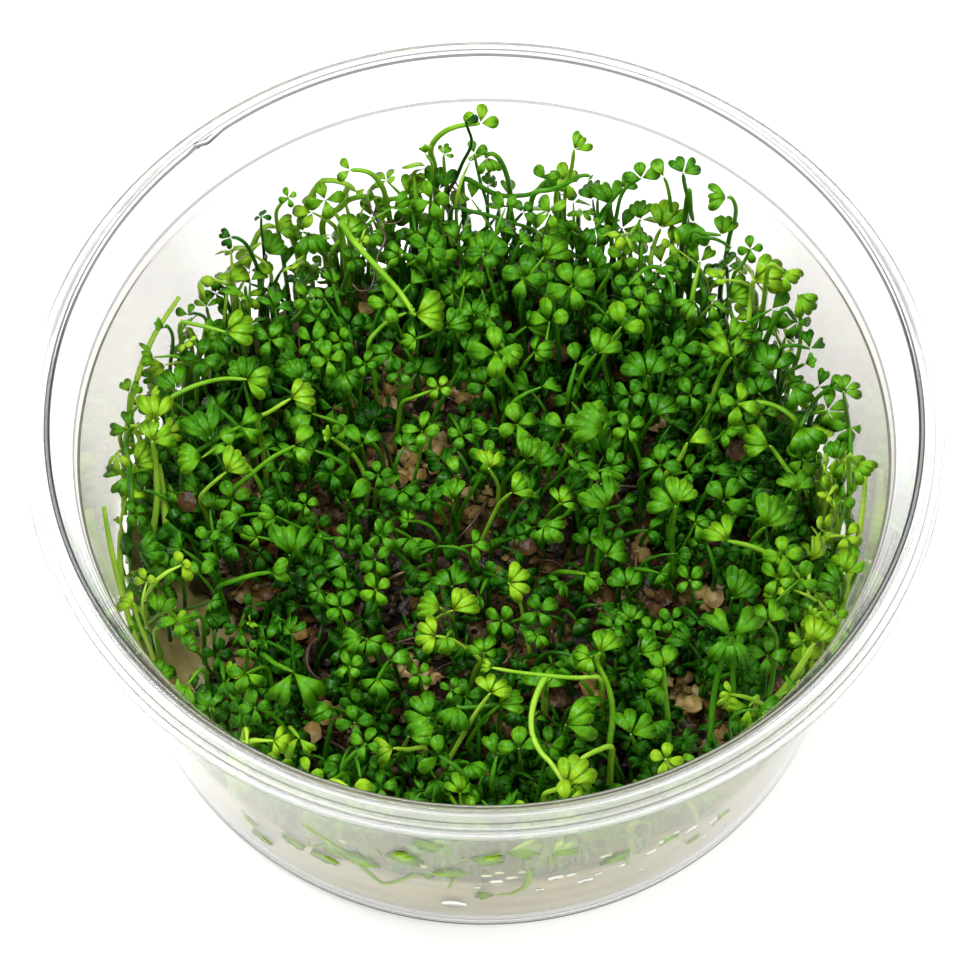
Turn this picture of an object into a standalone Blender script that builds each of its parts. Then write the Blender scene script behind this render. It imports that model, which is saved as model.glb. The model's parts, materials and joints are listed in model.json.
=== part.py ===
"""Water clover growing on gel in a clear round culture cup with an open top.

Metres, +Z up. The origin is the middle of the cup's underside, and -Y is the side that faces the viewer.
Every plant solid stands on the litter, which lies on the gel, which fills the bottom of the cup.
"""
import math
import random

import bmesh
import bpy
from mathutils import Quaternion, Vector

MM = 0.001
GAP = 0.3 * MM  # kept between pieces that touch
UP = Vector((0, 0, 1))

# Cup
CUP_HEIGHT = 46.2 * MM
RIM_RADIUS = 50.0 * MM
OPENING_RADIUS = 47.0 * MM
WALL = 0.7 * MM
FLOOR = 0.8 * MM
FOOT_RADIUS = 40.7 * MM  # where the straight wall would meet the table
CORNER_RADIUS = 2.5 * MM
SEAT_FOOT_RADIUS = 44.9 * MM  # inside, at the foot of the lid seat
SEAT_DEPTH = 6.2 * MM
SEAT_LEDGE = 0.6 * MM
SKIRT_DROP = 3.1 * MM  # the skirt's lower edge below the top
CUP_SEGMENTS = 40

# Gel and litter
GEL_LEVEL = 13.0 * MM
GEL_WAVE = 0.3 * MM
MENISCUS = 1.2 * MM
LITTER_THICKNESS = 1.3 * MM
LITTER_RADIUS = 36.4 * MM
BARE_ANGLE = math.radians(199)  # where the litter leaves the gel bare
BARE_DEPTH = 7.0 * MM
DISC_SEGMENTS = 24
DISC_SHARES = (0.0, 0.32, 0.64, 0.94, 1.0)  # the rings of the gel and the litter, as shares of their rims

# Tufts: one in the middle, six round it and twelve along the wall
TUFT_RINGS = ((0.0, 1), (16.5 * MM, 6), (32.5 * MM, 12))
TUFT_WANDER = 1.6 * MM
TUFT_LIMIT = 40.2 * MM  # how far from the cup's axis a tuft reaches at its foot
TUFT_SIDES = 10
CANOPY_MIDDLE = 28.5 * MM
CANOPY_BACK_RISE = 4.0 * MM
MASS_BELOW_TIPS = 3.5 * MM  # the leafy mass stays this far below the canopy's tips

# Fronds
STALK_WIDTH = 0.8 * MM
LEAF_THICKNESS = 0.4 * MM
LEAFLET_LENGTH = 2.5 * MM
STALK_PIECES = 3
FRONDS_PER_TUFT = 2
STALK_BURIED = 3.0 * MM  # how deep a stalk starts in its tuft's mass
TOWARDS_LIGHT = Vector((0, -0.35, 0))  # the leaves lean to the front

# The tall fronds, chosen by eye: the middle of each leaf
TALL_TIPS = [Vector(tip) * MM for tip in (
    (0.0, 41.6, 42.4),
    (-16.0, 37.0, 37.6),
    (-5.6, 33.8, 34.6),
    (10.6, 39.0, 38.8),
    (22.4, 34.6, 41.0),
    (26.4, 30.4, 37.0),
    (30.3, 25.4, 34.6),
    (36.2, 18.6, 35.0),
    (39.4, 9.6, 34.4),
    (-27.4, 30.0, 33.2),
    (-35.8, 18.8, 32.2),
    (-39.6, 7.0, 31.0),
    (17.4, 32.0, 37.4),
)]

# Runners that climb along the wall: angle about the cup's axis and height, chosen by eye
RUNNER_WIDTH = 1.1 * MM
RUNNERS = {
    "runner_left": ((176, 17.5), (169, 22.0), (161, 26.5), (153, 29.0), (145, 30.0)),
    "runner_front_left": ((206, 15.6), (199, 18.0), (192, 21.5), (187, 25.5), (183, 28.5)),
    "runner_right": ((-24, 16.0), (-16, 18.5), (-9, 22.5), (-3, 27.0), (3, 30.5)),
}


def remove_everything():
    """Starts from an empty scene."""
    for old in list(bpy.data.objects):
        bpy.data.objects.remove(old, do_unlink=True)


def finish(name, color, roughness, alpha=1.0, transmission=0.0):
    """A Principled material."""
    made = bpy.data.materials.new(name)
    made.use_nodes = True
    shader = made.node_tree.nodes["Principled BSDF"]
    shader.inputs["Base Color"].default_value = (*color, 1.0)
    shader.inputs["Roughness"].default_value = roughness
    shader.inputs["Metallic"].default_value = 0.0
    shader.inputs["Transmission Weight"].default_value = transmission
    shader.inputs["Alpha"].default_value = alpha
    made.diffuse_color = (*color, alpha)
    return made


def add_object(name, mesh_data, material):
    """Puts a mesh in the scene, shaded smooth with its sharp edges kept."""
    mesh = bpy.data.meshes.new(name)
    bmesh.ops.recalc_face_normals(mesh_data, faces=mesh_data.faces)
    mesh_data.to_mesh(mesh)
    mesh_data.free()
    mesh.shade_smooth()
    mesh.set_sharp_from_angle(angle=math.radians(40))
    mesh.materials.append(material)
    made = bpy.data.objects.new(name, mesh)
    bpy.context.scene.collection.objects.link(made)
    return made


def ring_of(mesh_data, points):
    """A closed ring of vertices, or one vertex where every point is the same."""
    if (points[0] - points[1]).length < 1e-7:
        return [mesh_data.verts.new(points[0])]
    return [mesh_data.verts.new(point) for point in points]


def skin(mesh_data, rings):
    """Faces between each ring and the next."""
    for lower, upper in zip(rings, rings[1:]):
        count = max(len(lower), len(upper))
        for i in range(count):
            j = (i + 1) % count
            if len(lower) == 1:
                mesh_data.faces.new((lower[0], upper[j], upper[i]))
            elif len(upper) == 1:
                mesh_data.faces.new((lower[i], lower[j], upper[0]))
            else:
                mesh_data.faces.new((lower[i], lower[j], upper[j], upper[i]))


def turned(profile, segments):
    """A solid of revolution about Z from (radius, height) points that start and end on the axis."""
    mesh_data = bmesh.new()
    angles = [2 * math.pi * i / segments for i in range(segments)]
    rings = []
    for radius, height in profile:
        points = [Vector((radius * math.cos(a), radius * math.sin(a), height)) for a in angles]
        rings.append(ring_of(mesh_data, points))
    skin(mesh_data, rings)
    return mesh_data


def wall_slope():
    """How much the inside of the wall widens for each metre of height."""
    top = CUP_HEIGHT - SEAT_DEPTH
    return (SEAT_FOOT_RADIUS - SEAT_LEDGE - FOOT_RADIUS + WALL) / top


def inner_radius(height):
    """The inside of the tapering wall."""
    return FOOT_RADIUS - WALL + wall_slope() * height


def corner(radius, level, steps=3):
    """The rounded corner between the base and the wall, from the base outwards."""
    lean = math.atan(wall_slope())
    foot = FOOT_RADIUS - WALL + wall_slope() * level
    if level == 0:
        foot = FOOT_RADIUS
    middle = foot + radius * math.tan(lean) - radius / math.cos(lean)
    points = []
    for step in range(steps + 1):
        angle = -math.pi / 2 + (math.pi / 2 - lean) * step / steps
        points.append((middle + radius * math.cos(angle), level + radius + radius * math.sin(angle)))
    return points


def make_cup(material):
    """The moulded cup: underside, wall, lid seat, rolled rim, skirt, then the inside back to the axis."""
    top = CUP_HEIGHT
    seat = top - SEAT_DEPTH
    outside = [(0.0, 0.0)] + corner(CORNER_RADIUS, 0.0) + [
        (SEAT_FOOT_RADIUS - SEAT_LEDGE + WALL, seat - 0.8 * MM),
        (SEAT_FOOT_RADIUS + WALL, seat - 0.5 * MM),
        (OPENING_RADIUS + 0.7 * MM, top - 1.9 * MM),
        (RIM_RADIUS - 0.7 * MM, top - 2.1 * MM),
    ]
    skirt = [
        (RIM_RADIUS - 0.6 * MM, top - SKIRT_DROP),
        (RIM_RADIUS, top - SKIRT_DROP),
        (RIM_RADIUS, top - 1.7 * MM),
        (RIM_RADIUS - 0.4 * MM, top - 1.35 * MM),
    ]
    bead = [
        (OPENING_RADIUS + 1.75 * MM, top - 1.15 * MM),
        (OPENING_RADIUS + 1.4 * MM, top - 0.4 * MM),
        (OPENING_RADIUS + 0.9 * MM, top),
        (OPENING_RADIUS + 0.35 * MM, top),
        (OPENING_RADIUS, top - 0.35 * MM),
    ]
    inside = [
        (SEAT_FOOT_RADIUS, seat),
        (SEAT_FOOT_RADIUS - SEAT_LEDGE, seat - 0.1 * MM),
    ]
    inside += reversed(corner(CORNER_RADIUS - WALL, FLOOR, steps=2))
    inside += [(0.0, FLOOR)]
    cup = turned(outside + skirt + bead + inside, CUP_SEGMENTS)
    return add_object("cup", cup, material)


def gel_top(x, y):
    """The gel's surface: nearly level, with shallow waves, and drawn up a little at the wall."""
    wave = GEL_WAVE * math.sin(x / (6 * MM) + 1.0) * math.cos(y / (7 * MM))
    edge = math.hypot(x, y) / inner_radius(GEL_LEVEL)
    return GEL_LEVEL + wave + MENISCUS * edge ** 40


def litter_top(x, y):
    """The top of the dead leaves and roots."""
    swell = 0.3 * MM * math.sin(y / (6.5 * MM) - 0.6) * math.cos(x / (8 * MM) + 0.4)
    return GEL_LEVEL + GAP + LITTER_THICKNESS + swell


def level_ring(radius, level):
    """The points of one ring of a layer; radius is a function of the angle, and level of the place."""
    points = []
    for i in range(DISC_SEGMENTS):
        angle = 2 * math.pi * i / DISC_SEGMENTS
        x, y = radius(angle) * math.cos(angle), radius(angle) * math.sin(angle)
        points.append(Vector((x, y, level(x, y))))
    return points


def sheet_rings(rim, level):
    """Rings from the axis out to the rim of a layer."""
    return [level_ring(lambda angle: rim(angle) * share, level) for share in DISC_SHARES]


def layer(below, above):
    """A closed solid between the rings below, from the axis outwards, and those above."""
    mesh_data = bmesh.new()
    skin(mesh_data, [ring_of(mesh_data, points) for points in below + above[::-1]])
    return mesh_data


def make_gel(material):
    """The gel: it follows the inside of the cup, a gap away from it, up to its uneven top."""
    floor = FLOOR + GAP
    foot = inner_radius(floor) - GAP
    turn = 1.7 * MM
    stations = ((0.0, floor), (foot - turn, floor), (foot, floor + turn))
    below = [level_ring(lambda angle: radius, lambda x, y: height) for radius, height in stations]
    rim = inner_radius(GEL_LEVEL) - GAP
    return add_object("gel", layer(below, sheet_rings(lambda angle: rim, gel_top)), material)


def litter_rim(angle):
    """The ragged outline of the litter, which leaves the gel bare at the lower left."""
    ragged = 1.5 * MM * math.sin(5 * angle + 0.7) + 0.8 * MM * math.sin(11 * angle)
    bare = BARE_DEPTH * math.exp(-((angle - BARE_ANGLE) / 0.30) ** 2)
    return LITTER_RADIUS + ragged - bare


def make_litter(material):
    """The litter: a sheet of dead leaves and roots that lies on the gel."""
    below = sheet_rings(litter_rim, lambda x, y: gel_top(x, y) + GAP)
    return add_object("litter", layer(below, sheet_rings(litter_rim, litter_top)), material)


def canopy(x, y):
    """The height of the leaf tips over a place: higher at the back and a little along the wall."""
    back = max(0.0, y / TUFT_LIMIT) ** 1.3
    edge = (math.hypot(x, y) / TUFT_LIMIT) ** 4
    return CANOPY_MIDDLE + CANOPY_BACK_RISE * back + 1.2 * MM * edge


def tuft_places(chance):
    """The foot of every tuft, on three rings that wander a little."""
    places = []
    for ring, (radius, count) in enumerate(TUFT_RINGS):
        for i in range(count):
            angle = 2 * math.pi * (i + 0.5 * ring) / count
            wander = Vector((chance.uniform(-1, 1), chance.uniform(-1, 1))) * TUFT_WANDER
            inward = 1.0 - 0.3 * (ring == 2)
            places.append(Vector((radius * math.cos(angle), radius * math.sin(angle))) + wander * inward)
    return places


def reach(place, angle, others):
    """How far a tuft spreads in one direction before it meets a neighbour or the wall."""
    heading = Vector((math.cos(angle), math.sin(angle)))
    along = place.dot(heading)
    best = -along + math.sqrt(along ** 2 + TUFT_LIMIT ** 2 - place.length_squared)
    for other in others:
        apart = other - place
        toward = heading.dot(apart.normalized())
        if toward > 0.05:
            best = min(best, (apart.length / 2 - GAP) / toward)
    return best


def leafy_mass(place, others, chance):
    """The mass of lower leaves and stalks of one tuft: a knobbly dome on a foot that follows the litter."""
    mesh_data = bmesh.new()
    tips = canopy(*place) - MASS_BELOW_TIPS
    foot_level = litter_top(*place) + GAP
    angles = [2 * math.pi * i / TUFT_SIDES for i in range(TUFT_SIDES)]
    spread = [reach(place, a, others) * chance.uniform(0.94, 1.0) for a in angles]

    def ring(share, rise, knobs):
        points = []
        for i, angle in enumerate(angles):
            knob = knobs * (1 if i % 2 else -1) * chance.uniform(0.5, 1.0)
            x = place.x + spread[i] * (share + knob) * math.cos(angle)
            y = place.y + spread[i] * (share + knob) * math.sin(angle)
            if rise == 0:
                height = litter_top(x, y) + GAP
            else:
                height = foot_level + (tips - foot_level) * (rise + 0.8 * knob)
            points.append(Vector((x, y, height)))
        return ring_of(mesh_data, points)

    bottom = [mesh_data.verts.new((place.x, place.y, foot_level))]
    top = [mesh_data.verts.new((place.x, place.y, tips))]
    rings = [bottom, ring(0.88, 0, 0.0), ring(0.97, 0.50, 0.03), ring(0.86, 0.82, 0.08)]
    rings += [ring(0.45, 0.93, 0.10), top]
    skin(mesh_data, rings)
    return mesh_data


def stalk_point(foot, rise, tip, share):
    """A point on a stalk, which leaves its foot upwards and bends over to its leaf."""
    left = 1.0 - share
    return foot * left ** 2 + rise * 2 * left * share + tip * share ** 2


def frond(foot, tip, facing, turn, size):
    """One frond as one closed skin: a square stalk whose head carries four leaflets."""
    mesh_data = bmesh.new()
    normal = facing.normalized()
    across = normal.orthogonal().normalized()
    across.rotate(Quaternion(normal, turn))
    rise = Vector((foot.x, foot.y, tip.z + 0.5 * (tip.z - foot.z) * (1 - normal.z)))
    half = STALK_WIDTH / 2
    rings = []
    for piece in range(STALK_PIECES, -1, -1):
        share = piece / STALK_PIECES
        here = stalk_point(foot, rise, tip, share)
        ahead = stalk_point(foot, rise, tip, min(1.0, share + 0.01))
        behind = stalk_point(foot, rise, tip, max(0.0, share - 0.01))
        along = normal if piece == STALK_PIECES else (ahead - behind).normalized()
        across = (across - along * across.dot(along)).normalized()
        side = along.cross(across)
        if piece == STALK_PIECES:
            leaf_axes = across.copy(), side.copy()
        corners = ((1, 1), (-1, 1), (-1, -1), (1, -1))
        rings.append([mesh_data.verts.new(here + (across * a + side * b) * half) for a, b in corners])
    across, side = leaf_axes
    head = [mesh_data.verts.new(v.co + normal * LEAF_THICKNESS) for v in rings[0]]
    for upper, lower in zip(rings, rings[1:]):
        for i in range(4):
            j = (i + 1) % 4
            mesh_data.faces.new((lower[i], lower[j], upper[j], upper[i]))
    mesh_data.faces.new(reversed(rings[-1]))
    mesh_data.faces.new(head)
    length = LEAFLET_LENGTH * size
    for i in range(4):
        j = (i + 1) % 4
        middle = (rings[0][i].co + rings[0][j].co) / 2
        outward = (middle - tip).normalized()
        sideways = (rings[0][j].co - rings[0][i].co).normalized()
        before = [rings[0][i], rings[0][j], head[j], head[i]]
        for share, width, lift in ((0.62, 0.40, 0.10), (1.0, 0.20, 0.02)):
            place = middle + outward * length * share + normal * length * lift
            points = (
                place - sideways * length * width,
                place + sideways * length * width,
                place + sideways * length * width + normal * LEAF_THICKNESS,
                place - sideways * length * width + normal * LEAF_THICKNESS,
            )
            after = [mesh_data.verts.new(point) for point in points]
            for k in range(4):
                m = (k + 1) % 4
                mesh_data.faces.new((before[k], before[m], after[m], after[k]))
            before = after
        mesh_data.faces.new(before)
    return mesh_data


def frond_tips(place, tall_tips, chance):
    """Where the fronds of one tuft end: its tall ones, and those that every tuft has."""
    mass_top = canopy(*place) - MASS_BELOW_TIPS
    start = chance.uniform(0, 2 * math.pi)
    tips = list(tall_tips)
    for i in range(FRONDS_PER_TUFT - min(1, len(tall_tips))):
        angle = start + 2 * math.pi * (i + chance.uniform(-0.1, 0.1)) / FRONDS_PER_TUFT
        out = Vector((math.cos(angle), math.sin(angle), 0)) * chance.uniform(3.2, 4.0) * MM
        tip = Vector((place.x, place.y, mass_top)) + out
        tip.z = canopy(tip.x, tip.y) + chance.uniform(0.0, 2.5) * MM
        tips.append(tip)
    return tips


def join(tuft, name, mesh_data, material):
    """Fuses one frond to its tuft."""
    guide = add_object(name, mesh_data, material)
    guide.hide_render = True
    guide.display_type = "WIRE"
    union = tuft.modifiers.new(name, "BOOLEAN")
    union.operation = "UNION"
    union.solver = "EXACT"
    union.object = guide


def make_tufts(material):
    """Every tuft: its leafy mass with its fronds fused to it."""
    chance = random.Random(11)
    places = tuft_places(chance)
    owned = [[] for _ in places]
    for tip in TALL_TIPS:
        nearest = min(range(len(places)), key=lambda i: (places[i] - tip.xy).length)
        owned[nearest].append(tip)
    for i, place in enumerate(places):
        others = places[:i] + places[i + 1:]
        name = f"tuft_{i + 1:02d}"
        tuft = add_object(name, leafy_mass(place, others, chance), material)
        for number, tip in enumerate(frond_tips(place, owned[i], chance)):
            out = Vector((tip.x - place.x, tip.y - place.y, 0))
            foot = Vector((place.x, place.y, canopy(*place) - MASS_BELOW_TIPS - STALK_BURIED)) + out * 0.25
            facing = UP + out.normalized() * chance.uniform(0.1, 0.5) + TOWARDS_LIGHT
            shape = frond(foot, tip, facing, chance.uniform(0, math.pi / 2), chance.uniform(0.85, 1.1))
            join(tuft, f"{name}_frond_{number + 1}", shape, material)


def smooth_path(points, count):
    """A smooth curve through points by the Catmull-Rom rule."""
    ends = [points[0] * 2 - points[1]] + points + [points[-1] * 2 - points[-2]]
    path = []
    for step in range(count):
        place = step / (count - 1) * (len(points) - 1)
        i = min(int(place), len(points) - 2)
        t = place - i
        a, b, c, d = ends[i:i + 4]
        path.append(0.5 * (2 * b + (c - a) * t + (2 * a - 5 * b + 4 * c - d) * t ** 2 + (3 * b - a - 3 * c + d) * t ** 3))
    return path


def make_runner(name, stations, material):
    """A creeping stem that climbs along the inside of the wall."""
    points = []
    for degrees, height in stations:
        angle, level = math.radians(degrees), height * MM
        radius = inner_radius(level) - RUNNER_WIDTH / 2 - GAP
        points.append(Vector((radius * math.cos(angle), radius * math.sin(angle), level)))
    curve = bpy.data.curves.new(name, "CURVE")
    curve.dimensions = "3D"
    curve.bevel_depth = RUNNER_WIDTH / 2
    curve.bevel_resolution = 1
    curve.use_fill_caps = True
    line = curve.splines.new("POLY")
    path = smooth_path(points, 12)
    line.points.add(len(path) - 1)
    for vertex, point in zip(line.points, path):
        vertex.co = (*point, 1.0)
    curve.materials.append(material)
    runner = bpy.data.objects.new(name, curve)
    bpy.context.scene.collection.objects.link(runner)
    return runner


def main():
    remove_everything()
    clear_plastic = finish("clear_plastic", (0.93, 0.95, 0.95), 0.08, alpha=0.3, transmission=0.9)
    gel = finish("gel", (0.78, 0.72, 0.62), 0.2)
    litter = finish("litter", (0.24, 0.15, 0.08), 0.6)
    leaf = finish("leaf", (0.07, 0.30, 0.02), 0.35)
    stem = finish("stem", (0.38, 0.55, 0.05), 0.35)
    make_cup(clear_plastic)
    make_gel(gel)
    make_litter(litter)
    make_tufts(leaf)
    for name, stations in RUNNERS.items():
        make_runner(name, stations, stem)


main()
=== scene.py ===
"""Water clover in a clear culture cup: the looks of every piece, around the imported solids.

Metres, +Z up, the same frame as the solids. The cup is turned, the gel and the litter are laid in it,
and every frond is a stalk with a leaf of leaflets. Lengths are written in millimetres and scaled by MM.
"""
import json
import math
import random

import bmesh
import bpy
from mathutils import Matrix, Quaternion, Vector, noise

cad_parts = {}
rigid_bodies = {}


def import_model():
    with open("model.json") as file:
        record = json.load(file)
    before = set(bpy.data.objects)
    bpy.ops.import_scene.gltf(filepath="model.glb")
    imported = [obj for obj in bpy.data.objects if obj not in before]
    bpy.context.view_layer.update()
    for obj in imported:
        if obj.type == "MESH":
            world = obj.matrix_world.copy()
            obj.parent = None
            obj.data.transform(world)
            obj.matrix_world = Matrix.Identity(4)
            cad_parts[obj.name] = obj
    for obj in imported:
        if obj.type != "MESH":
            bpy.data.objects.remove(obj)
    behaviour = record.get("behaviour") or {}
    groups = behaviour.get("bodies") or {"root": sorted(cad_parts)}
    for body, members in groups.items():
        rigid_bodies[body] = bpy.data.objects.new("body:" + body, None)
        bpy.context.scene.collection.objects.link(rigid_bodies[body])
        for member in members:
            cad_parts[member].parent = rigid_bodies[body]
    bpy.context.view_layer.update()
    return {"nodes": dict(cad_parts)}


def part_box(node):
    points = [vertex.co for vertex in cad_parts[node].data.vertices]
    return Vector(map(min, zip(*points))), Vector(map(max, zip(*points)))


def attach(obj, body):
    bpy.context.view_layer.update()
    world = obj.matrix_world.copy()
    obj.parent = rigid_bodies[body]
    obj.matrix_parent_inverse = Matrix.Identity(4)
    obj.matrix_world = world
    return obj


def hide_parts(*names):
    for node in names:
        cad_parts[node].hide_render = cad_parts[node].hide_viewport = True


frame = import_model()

MM = 0.001
UP = Vector((0, 0, 1))
FULL_TURN = 2 * math.pi
ON_AXIS = 0.0001 * MM

# The cup, as the solids have it
CUP_CORNER = Vector(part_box("cup")[1])
RIM_RADIUS = CUP_CORNER.x
CUP_HEIGHT = CUP_CORNER.z
OPENING_RADIUS = RIM_RADIUS - 3.0 * MM
WALL = 0.7 * MM
FLOOR = 0.8 * MM
FLOOR_BEND = 1.8 * MM
FOOT_RADIUS = RIM_RADIUS - 9.3 * MM
SEAT_DEPTH = 6.2 * MM
SEAT_LEVEL = CUP_HEIGHT - SEAT_DEPTH
SEAT_LEDGE = 0.6 * MM
SEAT_STEP = 1.4 * MM
SEAT_FOOT_RADIUS = RIM_RADIUS - 5.1 * MM
WALL_SLOPE = (SEAT_FOOT_RADIUS - SEAT_LEDGE - FOOT_RADIUS + WALL) / SEAT_LEVEL
CUP_SEGMENTS = 224
NICK_ANGLE = 132
NICK_HALF_WIDTH = 3  # in degrees
NICK_DEPTH = 0.35 * MM

# The gel and the litter
GEL_LEVEL = 13.0 * MM
GEL_GAP = 0.3 * MM
GEL_UPPER_GAP = 0.65 * MM
GEL_SEGMENTS = 144
MENISCUS = 1.2 * MM
FRONT_MENISCUS = 3.2 * MM
LITTER_LEVEL = 14.6 * MM
LITTER_RADIUS = 38.0 * MM
LITTER_SEGMENTS = 160
LITTER_STEPS = 44
FLAKE_KINDS = 8
ROOT_COUNT = 90
SHARD_COUNT = 240
SHARDS_ON_SPOT = 7

# The plants
CANOPY_MIDDLE = 28.5 * MM
CANOPY_BACK_RISE = 4.0 * MM
CANOPY_EDGE_RISE = 1.2 * MM
PLANT_LIMIT = 40.2 * MM
EDGE_RADIUS = 39.6 * MM  # where the fronds that line the wall grow
FOOT_DEPTH = 0.8 * MM  # how deep the stalks stand in the litter
STALK_GIRTH = 0.29 * MM
FROND_COUNT = 1200
EDGE_FRONDS = 300
LOW_FRONDS = 700
PLACING_TRIES = 8
STALK_ROOM = 0.25 * MM
LEAF_ROOM = 0.2 * MM
BACK_WALL = 41.3 * MM  # how far back the seen fronds along the wall stand
BACK_PIXELS_PER_MM = 9.1  # at that distance
BACK_LEAVES_OVER = 28.5 * MM
BACK_STALKS_OVER = 26.0 * MM
PRESSED_IN = 0.3 * MM  # how deep the fronds against the front of the wall lie in the plastic

# The camera, from the rings of the rim and the outline of the base in the photograph
CAMERA_DISTANCE = 450.0 * MM
CAMERA_ELEVATION = math.radians(59.28)
FOCAL_PIXELS = 4165.0
IMAGE_SIDE = 960
RIM_MIDDLE_PIXEL = (484.2, 409.0)
SENSOR_WIDTH = 36.0
TOWARDS = Vector((0, -math.cos(CAMERA_ELEVATION), math.sin(CAMERA_ELEVATION)))
UPWARD = Vector((0, math.sin(CAMERA_ELEVATION), math.cos(CAMERA_ELEVATION)))
CAMERA_PLACE = Vector((0, 0, CUP_HEIGHT)) + TOWARDS * CAMERA_DISTANCE


def polar(radius, angle, height=0.0):
    """The point at a radius, an angle and a height."""
    return Vector((radius * math.cos(angle), radius * math.sin(angle), height))


def inner_radius(height):
    """The inside of the tapering wall, and of the lid seat over it."""
    if height > SEAT_LEVEL:
        share = (height - SEAT_LEVEL) / SEAT_DEPTH
        return SEAT_FOOT_RADIUS + (OPENING_RADIUS - SEAT_FOOT_RADIUS) * share
    return FOOT_RADIUS - WALL + WALL_SLOPE * height


def sight(pixel):
    """The direction in which the camera sees a pixel."""
    across = (pixel[0] - RIM_MIDDLE_PIXEL[0]) / FOCAL_PIXELS
    down = (pixel[1] - RIM_MIDDLE_PIXEL[1]) / FOCAL_PIXELS
    return Vector((across, 0, 0)) - UPWARD * down - TOWARDS


def on_level(pixel, level):
    """The point at a height that the camera sees at a pixel."""
    ray = sight(pixel)
    return CAMERA_PLACE + ray * ((level - CAMERA_PLACE.z) / ray.z)


def on_plane(pixel, depth):
    """The point on an upright plane across the picture that the camera sees at a pixel."""
    ray = sight(pixel)
    return CAMERA_PLACE + ray * ((depth - CAMERA_PLACE.y) / ray.y)


def on_front_wall(pixel, room):
    """The point just inside the front of the wall that the camera sees at a pixel."""
    ray, point = sight(pixel), Vector((0, 0, LITTER_LEVEL))
    a, b = ray.xy.length_squared, ray.xy.dot(CAMERA_PLACE.xy)
    for _ in range(6):
        c = CAMERA_PLACE.xy.length_squared - (inner_radius(point.z) - room) ** 2
        point = CAMERA_PLACE + ray * ((-b - math.sqrt(b * b - a * c)) / a)
    return point


def pixels_of(text):
    """The pixels that are written in a text, with a comma in each and a space between them."""
    return [[float(part) for part in pixel.split(",")] for pixel in text.split()]


def canopy(x, y):
    """The height of the leaf tips over a place: higher at the back and a little along the wall."""
    back = max(0.0, y / PLANT_LIMIT) ** 1.3
    edge = (math.hypot(x, y) / PLANT_LIMIT) ** 4
    return CANOPY_MIDDLE + CANOPY_BACK_RISE * back + CANOPY_EDGE_RISE * edge


# Finishes

GREENS = ((0.0, (0.004, 0.036, 0.001)), (0.25, (0.018, 0.110, 0.003)), (0.50, (0.054, 0.222, 0.005)),
          (0.75, (0.122, 0.335, 0.007)), (1.0, (0.250, 0.460, 0.014)))
YELLOW_GREENS = (*GREENS[:3], (0.75, (0.170, 0.400, 0.016)), (1.0, (0.340, 0.560, 0.045)))


class NodeTree:
    """A node tree, with helpers that add nodes to it."""

    def node(self, kind, inputs=(), **settings):
        """Adds a node. Each input is given its value, or the socket that it is linked to."""
        made = self.tree.nodes.new(kind)
        for key, value in settings.items():
            setattr(made, key, value)
        for key, value in dict(inputs).items():
            self.feed(made.inputs[key], value)
        return made

    def feed(self, socket, value):
        if isinstance(value, bpy.types.NodeSocket):
            self.tree.links.new(value, socket)
        else:
            socket.default_value = value

    def math(self, operation, a, b):
        return self.node("ShaderNodeMath", {0: a, 1: b}, operation=operation).outputs[0]

    def add(self, a, b):
        return self.math("ADD", a, b)

    def times(self, a, b):
        return self.math("MULTIPLY", a, b)

    def spread(self, socket, low, high, to_low=0.0, to_high=1.0):
        """Maps the values from low to high to other values."""
        made = self.node("ShaderNodeMapRange", {"Value": socket, "From Min": low, "From Max": high,
                                                "To Min": to_low, "To Max": to_high})
        return made.outputs["Result"]

    def parts(self, vector):
        return self.node("ShaderNodeSeparateXYZ", {"Vector": vector}).outputs


class Finish(NodeTree):
    """A material whose shader is one Principled BSDF."""

    def __init__(self, name, **values):
        self.material = bpy.data.materials.new(name)
        self.material.use_nodes = True
        self.tree = self.material.node_tree
        self.shader = self.tree.nodes["Principled BSDF"]
        for key, value in values.items():
            self.shader.inputs[key.replace("_", " ")].default_value = value

    def drive(self, name, socket):
        self.tree.links.new(socket, self.shader.inputs[name])

    def place(self):
        return self.node("ShaderNodeTexCoord").outputs["Object"]

    def grain(self, scale, detail=3.0, roughness=0.5, vector=None):
        made = self.node("ShaderNodeTexNoise", {"Vector": vector or self.place(), "Scale": scale,
                                                "Detail": detail, "Roughness": roughness})
        return made.outputs["Fac"]

    def value_of(self, attribute):
        return self.node("ShaderNodeAttribute", attribute_name=attribute).outputs["Fac"]

    def varied(self, attribute, scale, most):
        """An attribute of the mesh, made uneven by a grain."""
        return self.add(self.value_of(attribute), self.spread(self.grain(scale), 0.3, 0.7, -most, most))

    def ramp(self, socket, stops):
        made = self.node("ShaderNodeValToRGB", {"Fac": socket})
        elements = made.color_ramp.elements
        while len(elements) < len(stops):
            elements.new(0.5)
        for element, (position, color) in zip(elements, stops):
            element.position = position
            element.color = (*color, 1.0)
        return made.outputs["Color"]

    def mix(self, factor, a, b):
        made = self.node("ShaderNodeMix", {"Factor": factor}, data_type="RGBA")
        colors = [socket for socket in made.inputs if socket.type == "RGBA"]
        for socket, value in zip(colors, (a, b)):
            self.feed(socket, value if isinstance(value, bpy.types.NodeSocket) else (*value, 1.0))
        return [socket for socket in made.outputs if socket.type == "RGBA"][0]

    def color(self, socket, stops):
        """Colours the surface by a ramp."""
        self.drive("Base Color", self.ramp(socket, stops))

    def bump(self, height, strength, distance):
        made = self.node("ShaderNodeBump", {"Height": height, "Strength": strength, "Distance": distance})
        self.drive("Normal", made.outputs["Normal"])


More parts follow.
